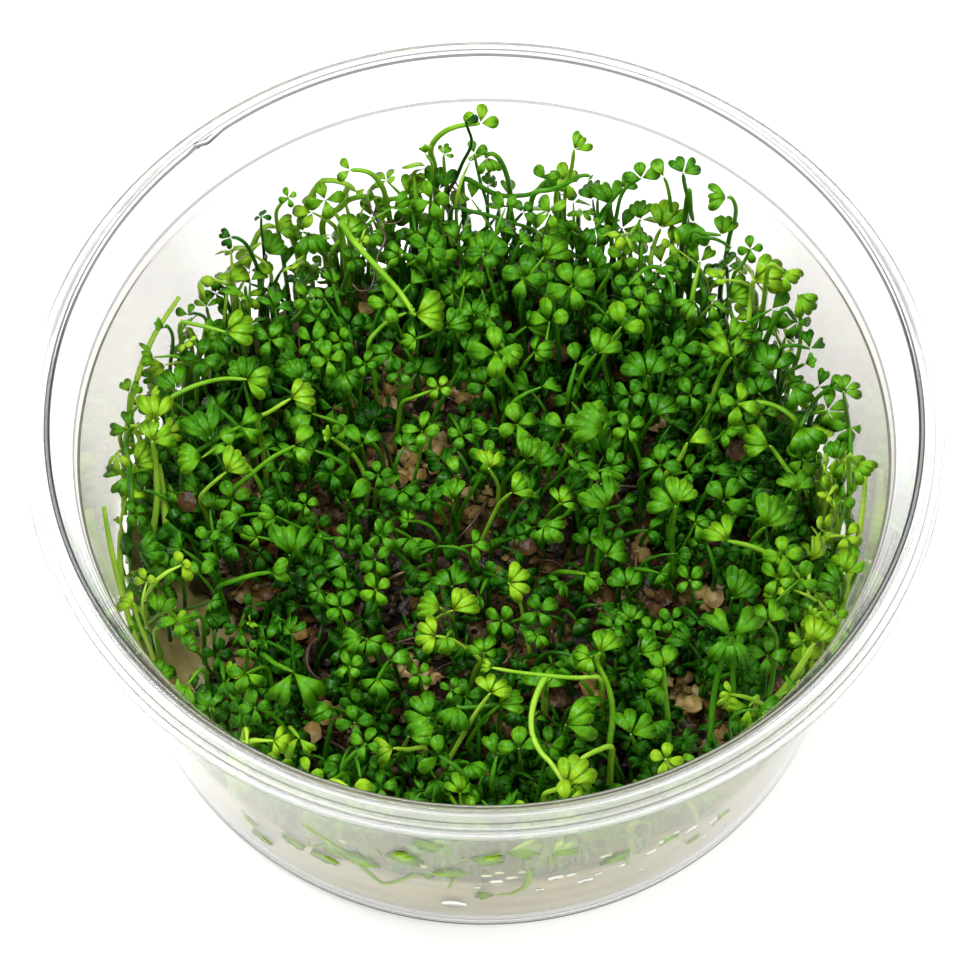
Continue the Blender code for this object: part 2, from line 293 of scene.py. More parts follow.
def clear_plastic():
    """The moulded cup: clear, with painted shade on its thick edges and a milky rim that stands in for light
    carried in the plastic, misted inside from the gel to the lid seat, with a painted glow in the mist at the
    front.
    """
    made = Finish("clear_plastic", IOR=1.30)
    _, depth, height = made.parts(made.place())
    flat = made.node("ShaderNodeVectorMath", {0: made.place(), 1: (1, 1, 0)}, operation="MULTIPLY").outputs[0]
    radius = made.node("ShaderNodeVectorMath", {0: flat}, operation="LENGTH").outputs["Value"]
    inner = made.add(made.times(height, WALL_SLOPE), FOOT_RADIUS - WALL)
    inner = made.add(inner, made.spread(height, SEAT_LEVEL - SEAT_STEP, SEAT_LEVEL, 0.0, SEAT_LEDGE))
    mist = made.spread(made.math("SUBTRACT", radius, inner), 0.3 * WALL, 0.7 * WALL, 1.0, 0.0)
    for near, far in ((GEL_LEVEL + 1 * MM, GEL_LEVEL + 7 * MM), (SEAT_LEVEL, SEAT_LEVEL - 0.3 * MM)):
        mist = made.times(mist, made.spread(height, near, far))
    mist = made.times(mist, made.spread(depth, 46 * MM, 26 * MM, 0.1))
    patches = made.spread(made.grain(120.0), 0.3, 0.7, 0.03, 0.10)
    made.drive("Roughness", made.add(made.times(mist, patches), 0.01))
    # The mist's colour: greyer towards the back, and at the front a painted yellow-green glow of the lit
    # leaves behind it.
    beside = made.mix(made.spread(depth, 5 * MM, 25 * MM), (0.61, 0.565, 0.51), (0.47, 0.44, 0.42))
    damp_and_glow = made.mix(made.spread(depth, -15 * MM, -32 * MM), beside, (0.83, 0.85, 0.38))
    wall = made.mix(mist, (0.96, 0.965, 0.96), damp_and_glow)
    # Painted shade: the edge attribute paints thin dark rings into the base colour at the thick edges, in
    # place of the darkness that refraction gives them.
    made.drive("Base Color", made.mix(made.value_of("edge"), wall, (0.008, 0.008, 0.010)))
    # Painted light: the rim lets less light through, so its near-white base colour shows as milky white in
    # place of the light that the clear plastic carries round in it.
    rim = made.spread(height, CUP_HEIGHT - 3.4 * MM, CUP_HEIGHT - 2.4 * MM, 1.0, 0.85)
    made.drive("Transmission Weight", made.times(rim, made.spread(mist, 0.0, 1.0, 1.0, 0.78)))
    made.bump(made.grain(60.0, 1.0), 0.12, 0.2 * MM)
    return made.material


def pale_gel():
    """The growing gel: beige, cloudy, wet, in faint level layers."""
    made = Finish("pale_gel", Roughness=0.16, IOR=1.34)
    layers = made.node("ShaderNodeMapping", {"Vector": made.place(), "Scale": (1, 1, 7)}).outputs["Vector"]
    cloud = made.spread(made.grain(90.0, 4.0, vector=layers), 0.35, 0.65)
    side = made.ramp(cloud, ((0.0, (0.40, 0.34, 0.14)), (0.6, (0.49, 0.42, 0.18)), (1.0, (0.56, 0.49, 0.23))))
    _, _, rise = made.parts(made.node("ShaderNodeNewGeometry").outputs["Normal"])
    made.drive("Base Color", made.mix(made.spread(rise, 0.3, 0.8), side, (0.27, 0.225, 0.075)))
    made.bump(made.grain(420.0), 0.35, 0.4 * MM)
    return made.material


def gel_crumb():
    """Shards of gel and dead matter between the plants: beige, tan and brown, wet."""
    made = Finish("gel_crumb", Roughness=0.14, IOR=1.4, Specular_IOR_Level=0.09)
    made.color(made.varied("tone", 600.0, 0.16), (
        (0.0, (0.006, 0.005, 0.003)), (0.28, (0.034, 0.021, 0.007)), (0.50, (0.100, 0.062, 0.018)),
        (0.74, (0.25, 0.185, 0.068)), (1.0, (0.46, 0.36, 0.17))))
    made.bump(made.grain(1500.0), 0.35, 0.15 * MM)
    return made.material


def litter_bed():
    """The dark bed of rotted leaves under the crumbs."""
    made = Finish("litter_bed", Roughness=0.14, Specular_IOR_Level=0.10)
    made.color(made.spread(made.grain(260.0, 5.0, 0.65), 0.35, 0.68), (
        (0.0, (0.005, 0.005, 0.003)), (0.5, (0.030, 0.022, 0.010)), (0.8, (0.11, 0.075, 0.035)),
        (1.0, (0.30, 0.21, 0.12))))
    made.bump(made.grain(1400.0, 5.0), 0.9, 0.4 * MM)
    return made.material


def dead_leaf():
    """Dead leaflets and shards: brown to tan, wet, with dark spots."""
    made = Finish("dead_leaf", Roughness=0.20, Specular_IOR_Level=0.11)
    made.color(made.varied("tone", 900.0, 0.14), (
        (0.0, (0.012, 0.007, 0.004)), (0.35, (0.070, 0.036, 0.010)), (0.70, (0.21, 0.140, 0.040)),
        (1.0, (0.46, 0.355, 0.16))))
    made.bump(made.grain(1300.0), 0.7, 0.25 * MM)
    return made.material


def root():
    """Roots and dead stalks: dark brown, wet."""
    made = Finish("root", Roughness=0.25)
    made.color(made.spread(made.grain(300.0), 0.3, 0.7), (
        (0.0, (0.014, 0.008, 0.005)), (0.6, (0.075, 0.036, 0.020)), (1.0, (0.20, 0.12, 0.065))))
    return made.material


def leaf_green():
    """Leaves: deep green to lime by their youth and painted light, with a painted highlight along the margin,
    painted shade in fine slits between the lobes, and paler at the base.
    """
    made = Finish("leaf_green", Roughness=0.27, IOR=1.40, Specular_IOR_Level=0.20)
    youth_and_painted_light = made.varied("youth_and_painted_light", 500.0, 0.13)
    along, across, _ = made.parts(made.node("ShaderNodeUVMap", uv_map="leaflet").outputs["UV"])
    from_notch = made.math("PINGPONG", across, 0.5)
    # Painted shade: dark lines where the lobes part, for the shade in the slits between them.
    painted_slit_shade = made.times(made.spread(from_notch, 0.0, 0.14, 0.26, 0.0), made.spread(along, 0.25, 0.8))
    # Painted highlight: a lighter band along the margin.
    edge = made.spread(along, 0.86, 1.0, 0.0, 0.13)
    base = made.spread(along, 0.0, 0.5, 0.15, 0.0)
    made.color(made.add(made.add(youth_and_painted_light, edge), made.math("SUBTRACT", base, painted_slit_shade)), GREENS)
    return made.material


def stalk_green():
    """Stalks and creeping stems: the greens of the leaves, yellower where they are young and where light is
    painted on them.
    """
    made = Finish("stalk_green", Roughness=0.28, IOR=1.40, Specular_IOR_Level=0.22)
    made.color(made.varied("youth_and_painted_light", 400.0, 0.1), YELLOW_GREENS)
    return made.material


def water():
    """Drops of condensed water on the wall."""
    return Finish("water", Base_Color=(0.50, 0.50, 0.40, 1), Roughness=0.02, IOR=1.2,
                  Transmission_Weight=1.0).material


def studio_floor():
    """The plain pale floor."""
    return Finish("studio_floor", Base_Color=(0.90, 0.90, 0.90, 1), Roughness=0.9, Emission_Strength=0.36,
                  Emission_Color=(1, 1, 1, 1)).material


# Shapes


def put_in_scene(name, data, home=None):
    """An object of some data, in the scene or in a collection of its own."""
    if home is None:
        home = bpy.context.scene.collection
    made = bpy.data.objects.new(name, data)
    home.objects.link(made)
    return made


def as_piece(name, mesh_data, material, sharp_from=None, home=None):
    """Makes one smooth piece of a mesh, with sharp edges from an angle on if that is given."""
    mesh = bpy.data.meshes.new(name)
    mesh_data.to_mesh(mesh)
    mesh_data.free()
    mesh.shade_smooth()
    if sharp_from:
        mesh.set_sharp_from_angle(angle=math.radians(sharp_from))
    mesh.materials.append(material)
    return put_in_scene(name, mesh, home)


def baked(source):
    """The final mesh of an object, which is removed."""
    graph = bpy.context.evaluated_depsgraph_get()
    mesh = bpy.data.meshes.new_from_object(source.evaluated_get(graph))
    bpy.data.objects.remove(source)
    return mesh


def give(mesh, name, values, kind="FLOAT", domain="POINT"):
    """Gives a mesh an attribute."""
    layer = mesh.attributes.new(name, kind, domain)
    layer.data.foreach_set("vector" if kind == "FLOAT_VECTOR" else "value", values)


def discard(shapes):
    """Removes a collection with its objects."""
    for shape in list(shapes.objects):
        bpy.data.objects.remove(shape)
    bpy.data.collections.remove(shapes)


def ring(mesh_data, count, at):
    """Vertices where a function of the angle puts them, or a single one if it puts them on the axis."""
    places = [at(FULL_TURN * i / count) for i in range(count)]
    if math.hypot(places[0][0], places[0][1]) < ON_AXIS:
        places = places[:1]
    return [mesh_data.verts.new(place) for place in places]


def skin(mesh_data, rings):
    """Faces between each ring of vertices and the next; a ring of one vertex is a pole."""
    for lower, upper in zip(rings, rings[1:]):
        count = max(len(lower), len(upper))
        for i in range(count):
            j = (i + 1) % count
            if len(lower) == 1:
                mesh_data.faces.new((lower[0], upper[j], upper[i]))
            elif len(upper) == 1:
                mesh_data.faces.new((lower[i], lower[j], upper[0]))
            else:
                mesh_data.faces.new((lower[i], lower[j], upper[j], upper[i]))
    bmesh.ops.recalc_face_normals(mesh_data, faces=mesh_data.faces)


def rounded(points, steps=4):
    """Rounds the corners of a line of (radius, height) points, each by its bend and with the shade painted on
    its edge.

    Gives (radius, height, shade) points. A point just outside each arc keeps the straight parts even."""
    line = [Vector(point[:2]) for point in points]
    corners = [point[2:] for point in points[1:]]
    made = [(*line[0], 0.0)]
    for before, here, after, (bend, shade) in zip(line, line[1:], line[2:], corners):
        back, ahead = before - here, after - here
        cut = min(bend, back.length * 0.45, ahead.length * 0.45)
        start, end = here + back.normalized() * cut, here + ahead.normalized() * cut
        made.append((*here + back.normalized() * cut * 1.1, 0.0))
        for step in range(steps + 1):
            t = step / steps
            place = start * (1 - t) ** 2 + here * 2 * t * (1 - t) + end * t ** 2
            made.append((*place, shade))
        made.append((*here + ahead.normalized() * cut * 1.1, 0.0))
    return made + [(*line[-1], 0.0)]


def turned(profile, segments):
    """A solid of revolution from (radius, height, shade) points that start and end on the axis."""
    mesh_data = bmesh.new()
    # The edge attribute holds the shade painted on each ring.
    painted_edge_shades = mesh_data.verts.layers.float.new("edge")
    rings = []
    for radius, height, shade in profile:
        rings.append(ring(mesh_data, segments, lambda angle: polar(radius, angle, height)))
        for vertex in rings[-1]:
            vertex[painted_edge_shades] = shade
    skin(mesh_data, rings)
    return mesh_data


def bezier(points, share):
    """A point on the Bezier curve of four points."""
    a, b, c, d = points
    left = 1 - share
    return a * left ** 3 + b * 3 * left ** 2 * share + c * 3 * left * share ** 2 + d * share ** 3


def smooth_path(points, count):
    """A smooth curve through points by the Catmull-Rom rule."""
    ends = [points[0] * 2 - points[1]] + list(points) + [points[-1] * 2 - points[-2]]
    path = []
    for step in range(count):
        place = step / (count - 1) * (len(points) - 1)
        i = min(int(place), len(points) - 2)
        t = place - i
        a, b, c, d = ends[i:i + 4]
        straight = 2 * b + (c - a) * t
        bend = (2 * a - 5 * b + 4 * c - d) * t ** 2
        path.append(0.5 * (straight + bend + (3 * b - a - 3 * c + d) * t ** 3))
    return path


# The cup, the gel and the litter


def make_cup():
    """The moulded cup, with the steps of its rim and its lid seat.

    Each corner of the profile has its radius, its height, its bend and how much shade is painted on its edge."""
    top, seat = CUP_HEIGHT, SEAT_LEVEL
    rim, opening, foot = RIM_RADIUS, OPENING_RADIUS, FOOT_RADIUS
    small = 0.15 * MM
    # The last figure of each corner is the shade painted on its edge.
    corners = [
        (0.0, 0.0, 0, 0),
        (foot - 1.1 * MM, 0.0, 1.2 * MM, 0),
        (foot + WALL_SLOPE * MM, 1.0 * MM, 0.5 * MM, 0.25),
        (SEAT_FOOT_RADIUS - SEAT_LEDGE + WALL, seat - 1.8 * MM, small, 0),
        (SEAT_FOOT_RADIUS + WALL, seat - 0.5 * MM, small, 0),
        (opening + 0.60 * MM, top - 0.80 * MM, small, 0),
        (opening + 0.95 * MM, top - 0.60 * MM, small, 0),
        (rim - 1.95 * MM, top - 0.90 * MM, small, 0),
        (rim - 1.60 * MM, top - 1.75 * MM, small, 0),
        (rim - 0.85 * MM, top - 2.00 * MM, small, 0),
        (rim - 0.50 * MM, top - 1.80 * MM, small, 0),
        (rim - 0.45 * MM, top - 2.90 * MM, small, 0),
        (rim, top - 2.90 * MM, 0.07 * MM, 0.6),
        (rim, top - 1.70 * MM, small, 0.2),
        (rim - 0.50 * MM, top - 1.25 * MM, 0.07 * MM, 0.5),
        (rim - 0.80 * MM, top - 1.45 * MM, small, 0),
        (rim - 1.25 * MM, top - 1.15 * MM, 0.09 * MM, 0.65),
        (rim - 1.60 * MM, top - 0.35 * MM, small, 0),
        (rim - 2.05 * MM, top, small, 0),
        (opening + 0.70 * MM, top, small, 0),
        (opening + 0.52 * MM, top - 0.10 * MM, 0.10 * MM, 0.85),
        (opening + 0.34 * MM, top, 0.08 * MM, 0),
        (opening, top - 0.30 * MM, 0.20 * MM, 0.94),
        (SEAT_FOOT_RADIUS, seat, 0.24 * MM, 0.85),
        (SEAT_FOOT_RADIUS - SEAT_LEDGE, seat - SEAT_STEP, small, 0.1),
        (foot - WALL + WALL_SLOPE * FLOOR, FLOOR, FLOOR_BEND, 0),
        (0.0, FLOOR, 0, 0),
    ]
    cup = turned(rounded(corners), CUP_SEGMENTS)
    for vertex in cup.verts:
        turn = math.degrees(math.atan2(vertex.co.y, vertex.co.x)) - NICK_ANGLE
        inside = vertex.co.z > top - 0.5 * MM and vertex.co.xy.length < opening + 0.4 * MM
        if inside and abs(turn) < NICK_HALF_WIDTH:
            push = math.copysign(NICK_DEPTH, turn) * math.cos(math.radians(turn * 90 / NICK_HALF_WIDTH))
            vertex.co += Vector((*vertex.co.xy.normalized() * push, 0))
    return as_piece("clear_cup", cup, FINISH["clear_plastic"], 30)


def gel_top(x, y):
    """The gel's surface: nearly level, uneven, and drawn up a little at the wall."""
    edge = math.hypot(x, y) / inner_radius(GEL_LEVEL)
    lumps = noise.noise(Vector((x, y, 0)) / (5 * MM)) * 0.35 * MM
    ripples = noise.noise(Vector((x, y, 9 * MM)) / (1.3 * MM)) * 0.12 * MM
    front = math.exp(-((math.atan2(y, x) + math.pi / 2) / 0.75) ** 2)
    return GEL_LEVEL + lumps + ripples + MENISCUS * edge ** 40 + FRONT_MENISCUS * front * edge ** 30


def make_gel():
    """The gel that fills the bottom of the cup."""
    mesh_data = bmesh.new()
    floor, bend = FLOOR + GEL_GAP, FLOOR_BEND
    foot = inner_radius(floor) - GEL_GAP
    rim = inner_radius(GEL_LEVEL) - GEL_UPPER_GAP
    side = [(0.0, floor), (foot * 0.5, floor), (foot - bend, floor),
            (foot - 0.55 * bend, floor + 0.15 * bend), (foot - 0.15 * bend, floor + 0.5 * bend),
            (foot + 0.1 * MM, floor + bend)]
    for height in (4.5, 6.5, 8.5, 10.5, 12.0):
        gap = max(GEL_GAP, GEL_UPPER_GAP * min(1, height / 10.5))
        side.append((inner_radius(height * MM) - gap, height * MM))

    def surface(share, angle):
        x, y = rim * share * math.cos(angle), rim * share * math.sin(angle)
        level = gel_top(x, y)
        reach = 1 + (inner_radius(level) / inner_radius(GEL_LEVEL) - 1) * share ** 20
        return x * reach, y * reach, level

    shares = [1.0, 0.992, 0.98, 0.965] + [0.95 - 0.95 * i / 34 for i in range(35)]
    rings = [ring(mesh_data, GEL_SEGMENTS, lambda angle: polar(radius, angle, height))
             for radius, height in side]
    rings += [ring(mesh_data, GEL_SEGMENTS, lambda angle: surface(share, angle)) for share in shares]
    skin(mesh_data, rings)
    return as_piece("growing_gel", mesh_data, FINISH["pale_gel"])


def litter_top(x, y):
    """The top of the rotted bed, lumpy."""
    lumps = noise.noise(Vector((x, y, 30 * MM)) / (4 * MM)) * 0.5 * MM
    crumbs = noise.noise(Vector((x, y, 50 * MM)) / (1.1 * MM)) * 0.22 * MM
    return LITTER_LEVEL - 0.5 * MM + lumps + crumbs


def litter_bottom(x, y):
    """The underside of the rotted bed, just in the gel."""
    return gel_top(x, y) - 0.15 * MM


def litter_rim(angle):
    """The ragged outline of the litter, drawn in where the gel shows at the left."""
    ragged = 1.2 * math.sin(5 * angle + 0.7) + 0.6 * math.sin(11 * angle) + 0.5 * math.sin(23 * angle)
    turn = (angle - math.radians(198) + math.pi) % FULL_TURN - math.pi
    return LITTER_RADIUS + ragged * MM - 8.0 * MM * math.exp(-(turn / 0.20) ** 2)


def litter_tone(x, y):
    """How pale the litter is at a place: 0 is black, as rot and as painted shade in the deep gaps, 1 is tan.
    """
    tone = 0.30 + 0.34 * noise.noise(Vector((x, y, 70 * MM)) / (5 * MM))
    tone += 0.22 * noise.noise(Vector((x, y, 0)) / (2 * MM))
    # Painted shade: the dark spots pull the tone to black where deep gaps lie in shade.
    for place, radius, spot_tone in BARE:
        weight = math.exp(-((Vector((x, y)) - place).length / (radius * 1.15)) ** 2)
        tone += (spot_tone - tone) * weight
    return max(0.0, min(1.0, tone))


def make_litter_bed():
    """The bed of rotted leaves on the gel."""
    mesh_data = bmesh.new()

    def laid(share, level, angle):
        x, y = litter_rim(angle) * share * math.cos(angle), litter_rim(angle) * share * math.sin(angle)
        return x, y, level(x, y)

    layers = [(share, litter_bottom) for share in (0.0, 0.5, 1.0)]
    layers += [(i / LITTER_STEPS, litter_top) for i in range(LITTER_STEPS, -1, -1)]
    rings = [ring(mesh_data, LITTER_SEGMENTS, lambda angle: laid(share, level, angle))
             for share, level in layers]
    skin(mesh_data, rings)
    bed = as_piece("litter_bed", mesh_data, FINISH["litter_bed"])
    give(bed.data, "tone", [litter_tone(vertex.co.x, vertex.co.y) for vertex in bed.data.vertices])
    return bed


def flake_shapes():
    """Shards of gel, dead leaflets and crumbs, one millimetre across, in a collection of their own."""
    chance = random.Random(9)
    shapes = bpy.data.collections.new("flake_shapes")
    for number in range(FLAKE_KINDS):
        mesh_data = bmesh.new()
        bmesh.ops.create_uvsphere(mesh_data, u_segments=8, v_segments=5, radius=0.5 * MM)
        seed = Vector((number * 3.1, 0, 0))
        flatness = 0.20 if number < 6 else 0.4
        crumpling = (0.30 if number < 5 else 0.12) * MM
        cuts = []
        for _ in range(5):
            cut = Vector((chance.uniform(-1, 1), chance.uniform(-1, 1), chance.uniform(-0.2, 0.2)))
            cuts.append(cut.normalized())
        for vertex in mesh_data.verts:
            place = vertex.co.copy()
            for cut in cuts:
                place -= cut * max(0.0, place.dot(cut) - 0.30 * MM)
            crumple = noise.noise(place / (0.35 * MM) + seed) * crumpling
            vertex.co = (place.x, place.y, place.z * flatness + crumple)
        as_piece(f"flake_{number}", mesh_data, FINISH["gel_crumb"], 40, shapes)
    return shapes


def make_litter():
    """The bed, and the flakes, roots and dead leaves strewn over it."""
    bed = make_litter_bed()
    shapes = flake_shapes()
    flakes = strewing_tree().run(
        put_in_scene("ground", bed.data.copy()), "litter_flakes", Shapes=shapes, Spacing=0.90 * MM,
        Density=2.6e6, Smallest=0.65, Largest=2.9, Seed=4, Finish=FINISH["gel_crumb"])
    discard(shapes)
    for piece in (bed, flakes, make_roots(), make_dead_leaves()):
        own(piece, "litter")


# Dead leaves that are seen one by one: the pixel of the middle, the height and the radius in mm, and the tone
DEAD_LEAVES = (
    (187, 503, 26.0, 1.35, 0.28), (526, 547, 27.0, 1.15, 0.24), (736, 451, 26.0, 1.20, 0.28),
    (256, 602, 18.5, 1.30, 0.35), (268, 594, 19.0, 0.90, 0.35), (310, 732, 18.0, 1.60, 0.75),
    (327, 717, 17.5, 1.20, 0.80), (245, 662, 17.0, 1.10, 0.60), (300, 632, 17.0, 1.20, 0.70),
    (560, 352, 22.0, 1.30, 0.30), (453, 262, 22.0, 1.20, 0.25), (366, 308, 20.0, 1.00, 0.85),
    (693, 703, 18.0, 1.30, 0.85), (715, 597, 17.5, 1.40, 0.85), (395, 478, 17.0, 1.50, 0.65),
    (434, 447, 17.0, 1.30, 0.75),
)


def make_dead_leaves():
    """Dead leaflets and crumpled shards lying on the litter, as one piece."""
    chance = random.Random(33)
    laid = [(on_level((u, v), level * MM), radius * MM, tone, 0.18)
            for u, v, level, radius, tone in DEAD_LEAVES]
    # On the dark spots the shards take the painted shade too.
    for place, radius, tone in BARE:
        for _ in range(SHARDS_ON_SPOT):
            turn, out = chance.uniform(0, FULL_TURN), radius * math.sqrt(chance.random())
            height = chance.uniform(15.0, 16.2) * MM
            where = Vector((place.x + out * math.cos(turn), place.y + out * math.sin(turn), height))
            size = chance.uniform(0.7, 1.5) * MM
            laid.append((where, size, tone * 0.90 + chance.uniform(-0.25, 0.10), 0.4))
    for _ in range(SHARD_COUNT):
        turn, out = chance.uniform(0, FULL_TURN), 37 * MM * math.sqrt(chance.random())
        where = polar(out, turn, chance.uniform(14.9, 16.4) * MM)
        laid.append((where, chance.uniform(0.5, 1.3) * MM, chance.uniform(0.0, 0.8), 0.4))
    mesh_data = bmesh.new()
    tones = mesh_data.verts.layers.float.new("tone")
    for where, radius, tone, roughness in laid:
        if math.hypot(where.x, where.y) < litter_rim(math.atan2(where.y, where.x)) - radius:
            add_shard(mesh_data, tones, chance, where, radius, tone, roughness)
    bmesh.ops.recalc_face_normals(mesh_data, faces=mesh_data.faces)
    return as_piece("dead_leaves", mesh_data, FINISH["dead_leaf"], 50)


def add_shard(mesh_data, tones, chance, where, radius, tone, roughness, sides=9):
    """A thin crumpled sheet: a closed mesh with an upper and a lower skin."""
    axis = Vector((chance.uniform(-1, 1), chance.uniform(-1, 1), 0)).normalized()
    tilt = Quaternion(axis, chance.uniform(-0.5, 0.5))
    outline = [radius * chance.uniform(1 - 1.3 * roughness, 1 + 0.5 * roughness) for _ in range(sides)]
    start = chance.uniform(0, FULL_TURN)

    def at(i, share, lift):
        flat = polar(1, start + FULL_TURN * i / sides) * outline[i] * share
        flat.z = radius * chance.uniform(-0.6, 0.6) * roughness * share + lift
        vertex = mesh_data.verts.new(where + tilt @ flat)
        vertex[tones] = tone - 0.15 * share
        return vertex

    rim = [at(i, 1.0, -0.12 * radius) for i in range(sides)]
    for lift in (0.05 * MM, -0.05 * MM):
        middle = [at(i, 0.55, lift) for i in range(sides)]
        top = mesh_data.verts.new(where + tilt @ Vector((0, 0, lift)))
        top[tones] = tone
        for i in range(sides):
            j = (i + 1) % sides
            mesh_data.faces.new((rim[i], rim[j], middle[j], middle[i]))
            mesh_data.faces.new((middle[i], middle[j], top))


# Dead stalks and roots that are seen one by one: thickness and the heights of the two ends in mm, then
# their pixels
DEAD_STALKS = """
0.28 20 17 / 318,639 309,648 307,664 314,676 326,683
0.26 20 17 / 363,603 358,618 349,632 340,641
0.20 19 17 / 349,610 347,626 351,640
0.09 31 31 / 368,204 374,216 386,224 398,222 404,214 400,207 390,209
0.09 31 30 / 358,214 364,223 373,229
0.16 31 27 / 370,209 377,222 385,238 378,255 375,270 371,288 359,291 352,284
0.10 31 29 / 447,184 452,196 450,212
0.10 31 29 / 455,182 461,194 466,205
0.08 31 29 / 452,186 458,199 458,212
"""


def make_roots():
    """Dead stalks and roots that lie and arch over the litter, as one piece."""
    chance = random.Random(21)
    paths = []
    for _ in range(ROOT_COUNT):
        out, angle = 36 * MM * math.sqrt(chance.random()), chance.uniform(0, FULL_TURN)
        start = polar(out, angle, LITTER_LEVEL)
        heading = chance.uniform(0, FULL_TURN)
        length = chance.uniform(4, 11) * MM
        arch = chance.uniform(0.3, 2.6) * MM
        points = []
        for step in range(5):
            heading += chance.uniform(-0.7, 0.7)
            lift = arch * math.sin(math.pi * step / 4)
            start = start + polar(1, heading) * length / 4
            points.append(inside_cup(Vector((start.x, start.y, LITTER_LEVEL - 0.3 * MM + lift)), 1.5 * MM))
        paths.append((smooth_path(points, 4 * len(points)), chance.uniform(0.10, 0.30) * MM))
    for line in DEAD_STALKS.strip().split("\n"):
        head, way = line.split(" / ")
        thickness, high, low = (float(figure) * MM for figure in head.split())
        pixels = pixels_of(way)
        last = len(pixels) - 1
        points = [on_level(pixel, high + (low - high) * i / last) for i, pixel in enumerate(pixels)]
        paths.append((smooth_path(points, 4 * len(points)), thickness))
    return swept("litter_roots", paths, FINISH["root"])


def swept(name, paths, material, roundness=2, wave=0.1, pace=1.3, taper=0.4):
    """Round tubes in one mesh, each along the points of its path with its radius.

    The wave and its pace make the tubes a little uneven, and they taper towards their ends."""
    curve = bpy.data.curves.new(name, "CURVE")
    curve.dimensions = "3D"
    curve.bevel_depth = 1.0
    curve.bevel_resolution = roundness
    curve.use_fill_caps = True
    for points, radius in paths:
        line = curve.splines.new("POLY")
        line.points.add(len(points) - 1)
        for i, (vertex, point) in enumerate(zip(line.points, points)):
            vertex.co = (*point, 1.0)
            vertex.radius = radius * (0.9 + wave * math.sin(i * pace) - taper * (i / len(points)) ** 3)
    mesh = baked(put_in_scene(name, curve))
    mesh.materials.clear()
    mesh.materials.append(material)
    mesh.shade_smooth()
    return put_in_scene(name, mesh)


# Geometry nodes


class Tree(NodeTree):
    """A geometry node tree with named inputs."""

    def __init__(self, name, inputs):
        self.tree = bpy.data.node_groups.new(name, "GeometryNodeTree")
        face = self.tree.interface
        face.new_socket("Geometry", in_out="INPUT", socket_type="NodeSocketGeometry")
        for label, kind, value in inputs:
            socket = face.new_socket(label, in_out="INPUT", socket_type=kind)
            if value is not None:
                socket.default_value = value
        face.new_socket("Geometry", in_out="OUTPUT", socket_type="NodeSocketGeometry")
        self.start = self.tree.nodes.new("NodeGroupInput")
        self.end = self.tree.nodes.new("NodeGroupOutput")

    def named(self, attribute, kind):
        made = self.node("GeometryNodeInputNamedAttribute", {"Name": attribute}, data_type=kind)
        return made.outputs["Attribute"]

    def chance(self, low, high, seed, kind="FLOAT"):
        """A random number or vector for each point."""
        made = self.node("FunctionNodeRandomValue", {"Min": low, "Max": high, "Seed": seed}, data_type=kind)
        wanted = "VECTOR" if kind == "FLOAT_VECTOR" else "VALUE"
        return [socket for socket in made.outputs if socket.enabled and socket.type == wanted][0]

    def children_of(self, collection):
        made = self.node("GeometryNodeCollectionInfo", {"Collection": collection, "Separate Children": True,
                                                        "Reset Children": True})
        return made.outputs[0]

    def realized(self, geometry):
        return self.node("GeometryNodeRealizeInstances", {"Geometry": geometry}).outputs[0]

    def coated(self, geometry, finish, selection=True):
        made = self.node("GeometryNodeSetMaterial", {"Geometry": geometry, "Selection": selection,
                                                     "Material": finish})
        return made.outputs[0]

    def finish(self, geometry):
        self.tree.links.new(geometry, self.end.inputs["Geometry"])
        return self

    def run(self, source, name, **values):
        """Applies the tree to a mesh object and gives the result as a plain mesh piece."""
        modifier = source.modifiers.new("tree", "NODES")
        modifier.node_group = self.tree
        for item in self.tree.interface.items_tree:
            label = item.name.replace(" ", "_")
            if item.item_type == "SOCKET" and item.in_out == "INPUT" and label in values:
                modifier[item.identifier] = values[label]
        mesh = baked(source)
        mesh.name = name
        return put_in_scene(name, mesh)


def strewing_tree():
    """Strews shapes over the upward faces of a surface."""
    made = Tree("strewing", (("Shapes", "NodeSocketCollection", None), ("Spacing", "NodeSocketFloat", 0.001),
                             ("Density", "NodeSocketFloat", 1e6), ("Smallest", "NodeSocketFloat", 0.5),
                             ("Largest", "NodeSocketFloat", 3.0), ("Seed", "NodeSocketInt", 0),
                             ("Finish", "NodeSocketMaterial", None)))
    given = made.start.outputs
    _, _, rise = made.parts(made.node("GeometryNodeInputNormal").outputs["Normal"])
    upward = made.node("FunctionNodeCompare", {"A": rise, "B": 0.5}, operation="GREATER_THAN")
    points = made.node("GeometryNodeDistributePointsOnFaces", {
        "Mesh": given["Geometry"], "Selection": upward.outputs[0], "Distance Min": given["Spacing"],
        "Density Max": given["Density"], "Seed": given["Seed"]}, distribute_method="POISSON")
    tone = made.add(made.named("tone", "FLOAT"), made.chance(-0.20, 0.20, 3))
    toned = made.node("GeometryNodeStoreNamedAttribute", {
        "Geometry": points.outputs["Points"], "Name": "tone", "Value": tone}, data_type="FLOAT")
    small = made.math("POWER", made.chance(0.0, 1.0, 2), 2.0)
    strewn = made.node("GeometryNodeInstanceOnPoints", {
        "Points": toned.outputs[0], "Instance": made.children_of(given["Shapes"]), "Pick Instance": True,
        "Rotation": made.chance((-0.5, -0.5, 0.0), (0.5, 0.5, 6.28), 1, "FLOAT_VECTOR"),
        "Scale": made.spread(small, 0.0, 1.0, given["Smallest"], given["Largest"])})
    return made.finish(made.coated(made.realized(strewn.outputs[0]), given["Finish"]))


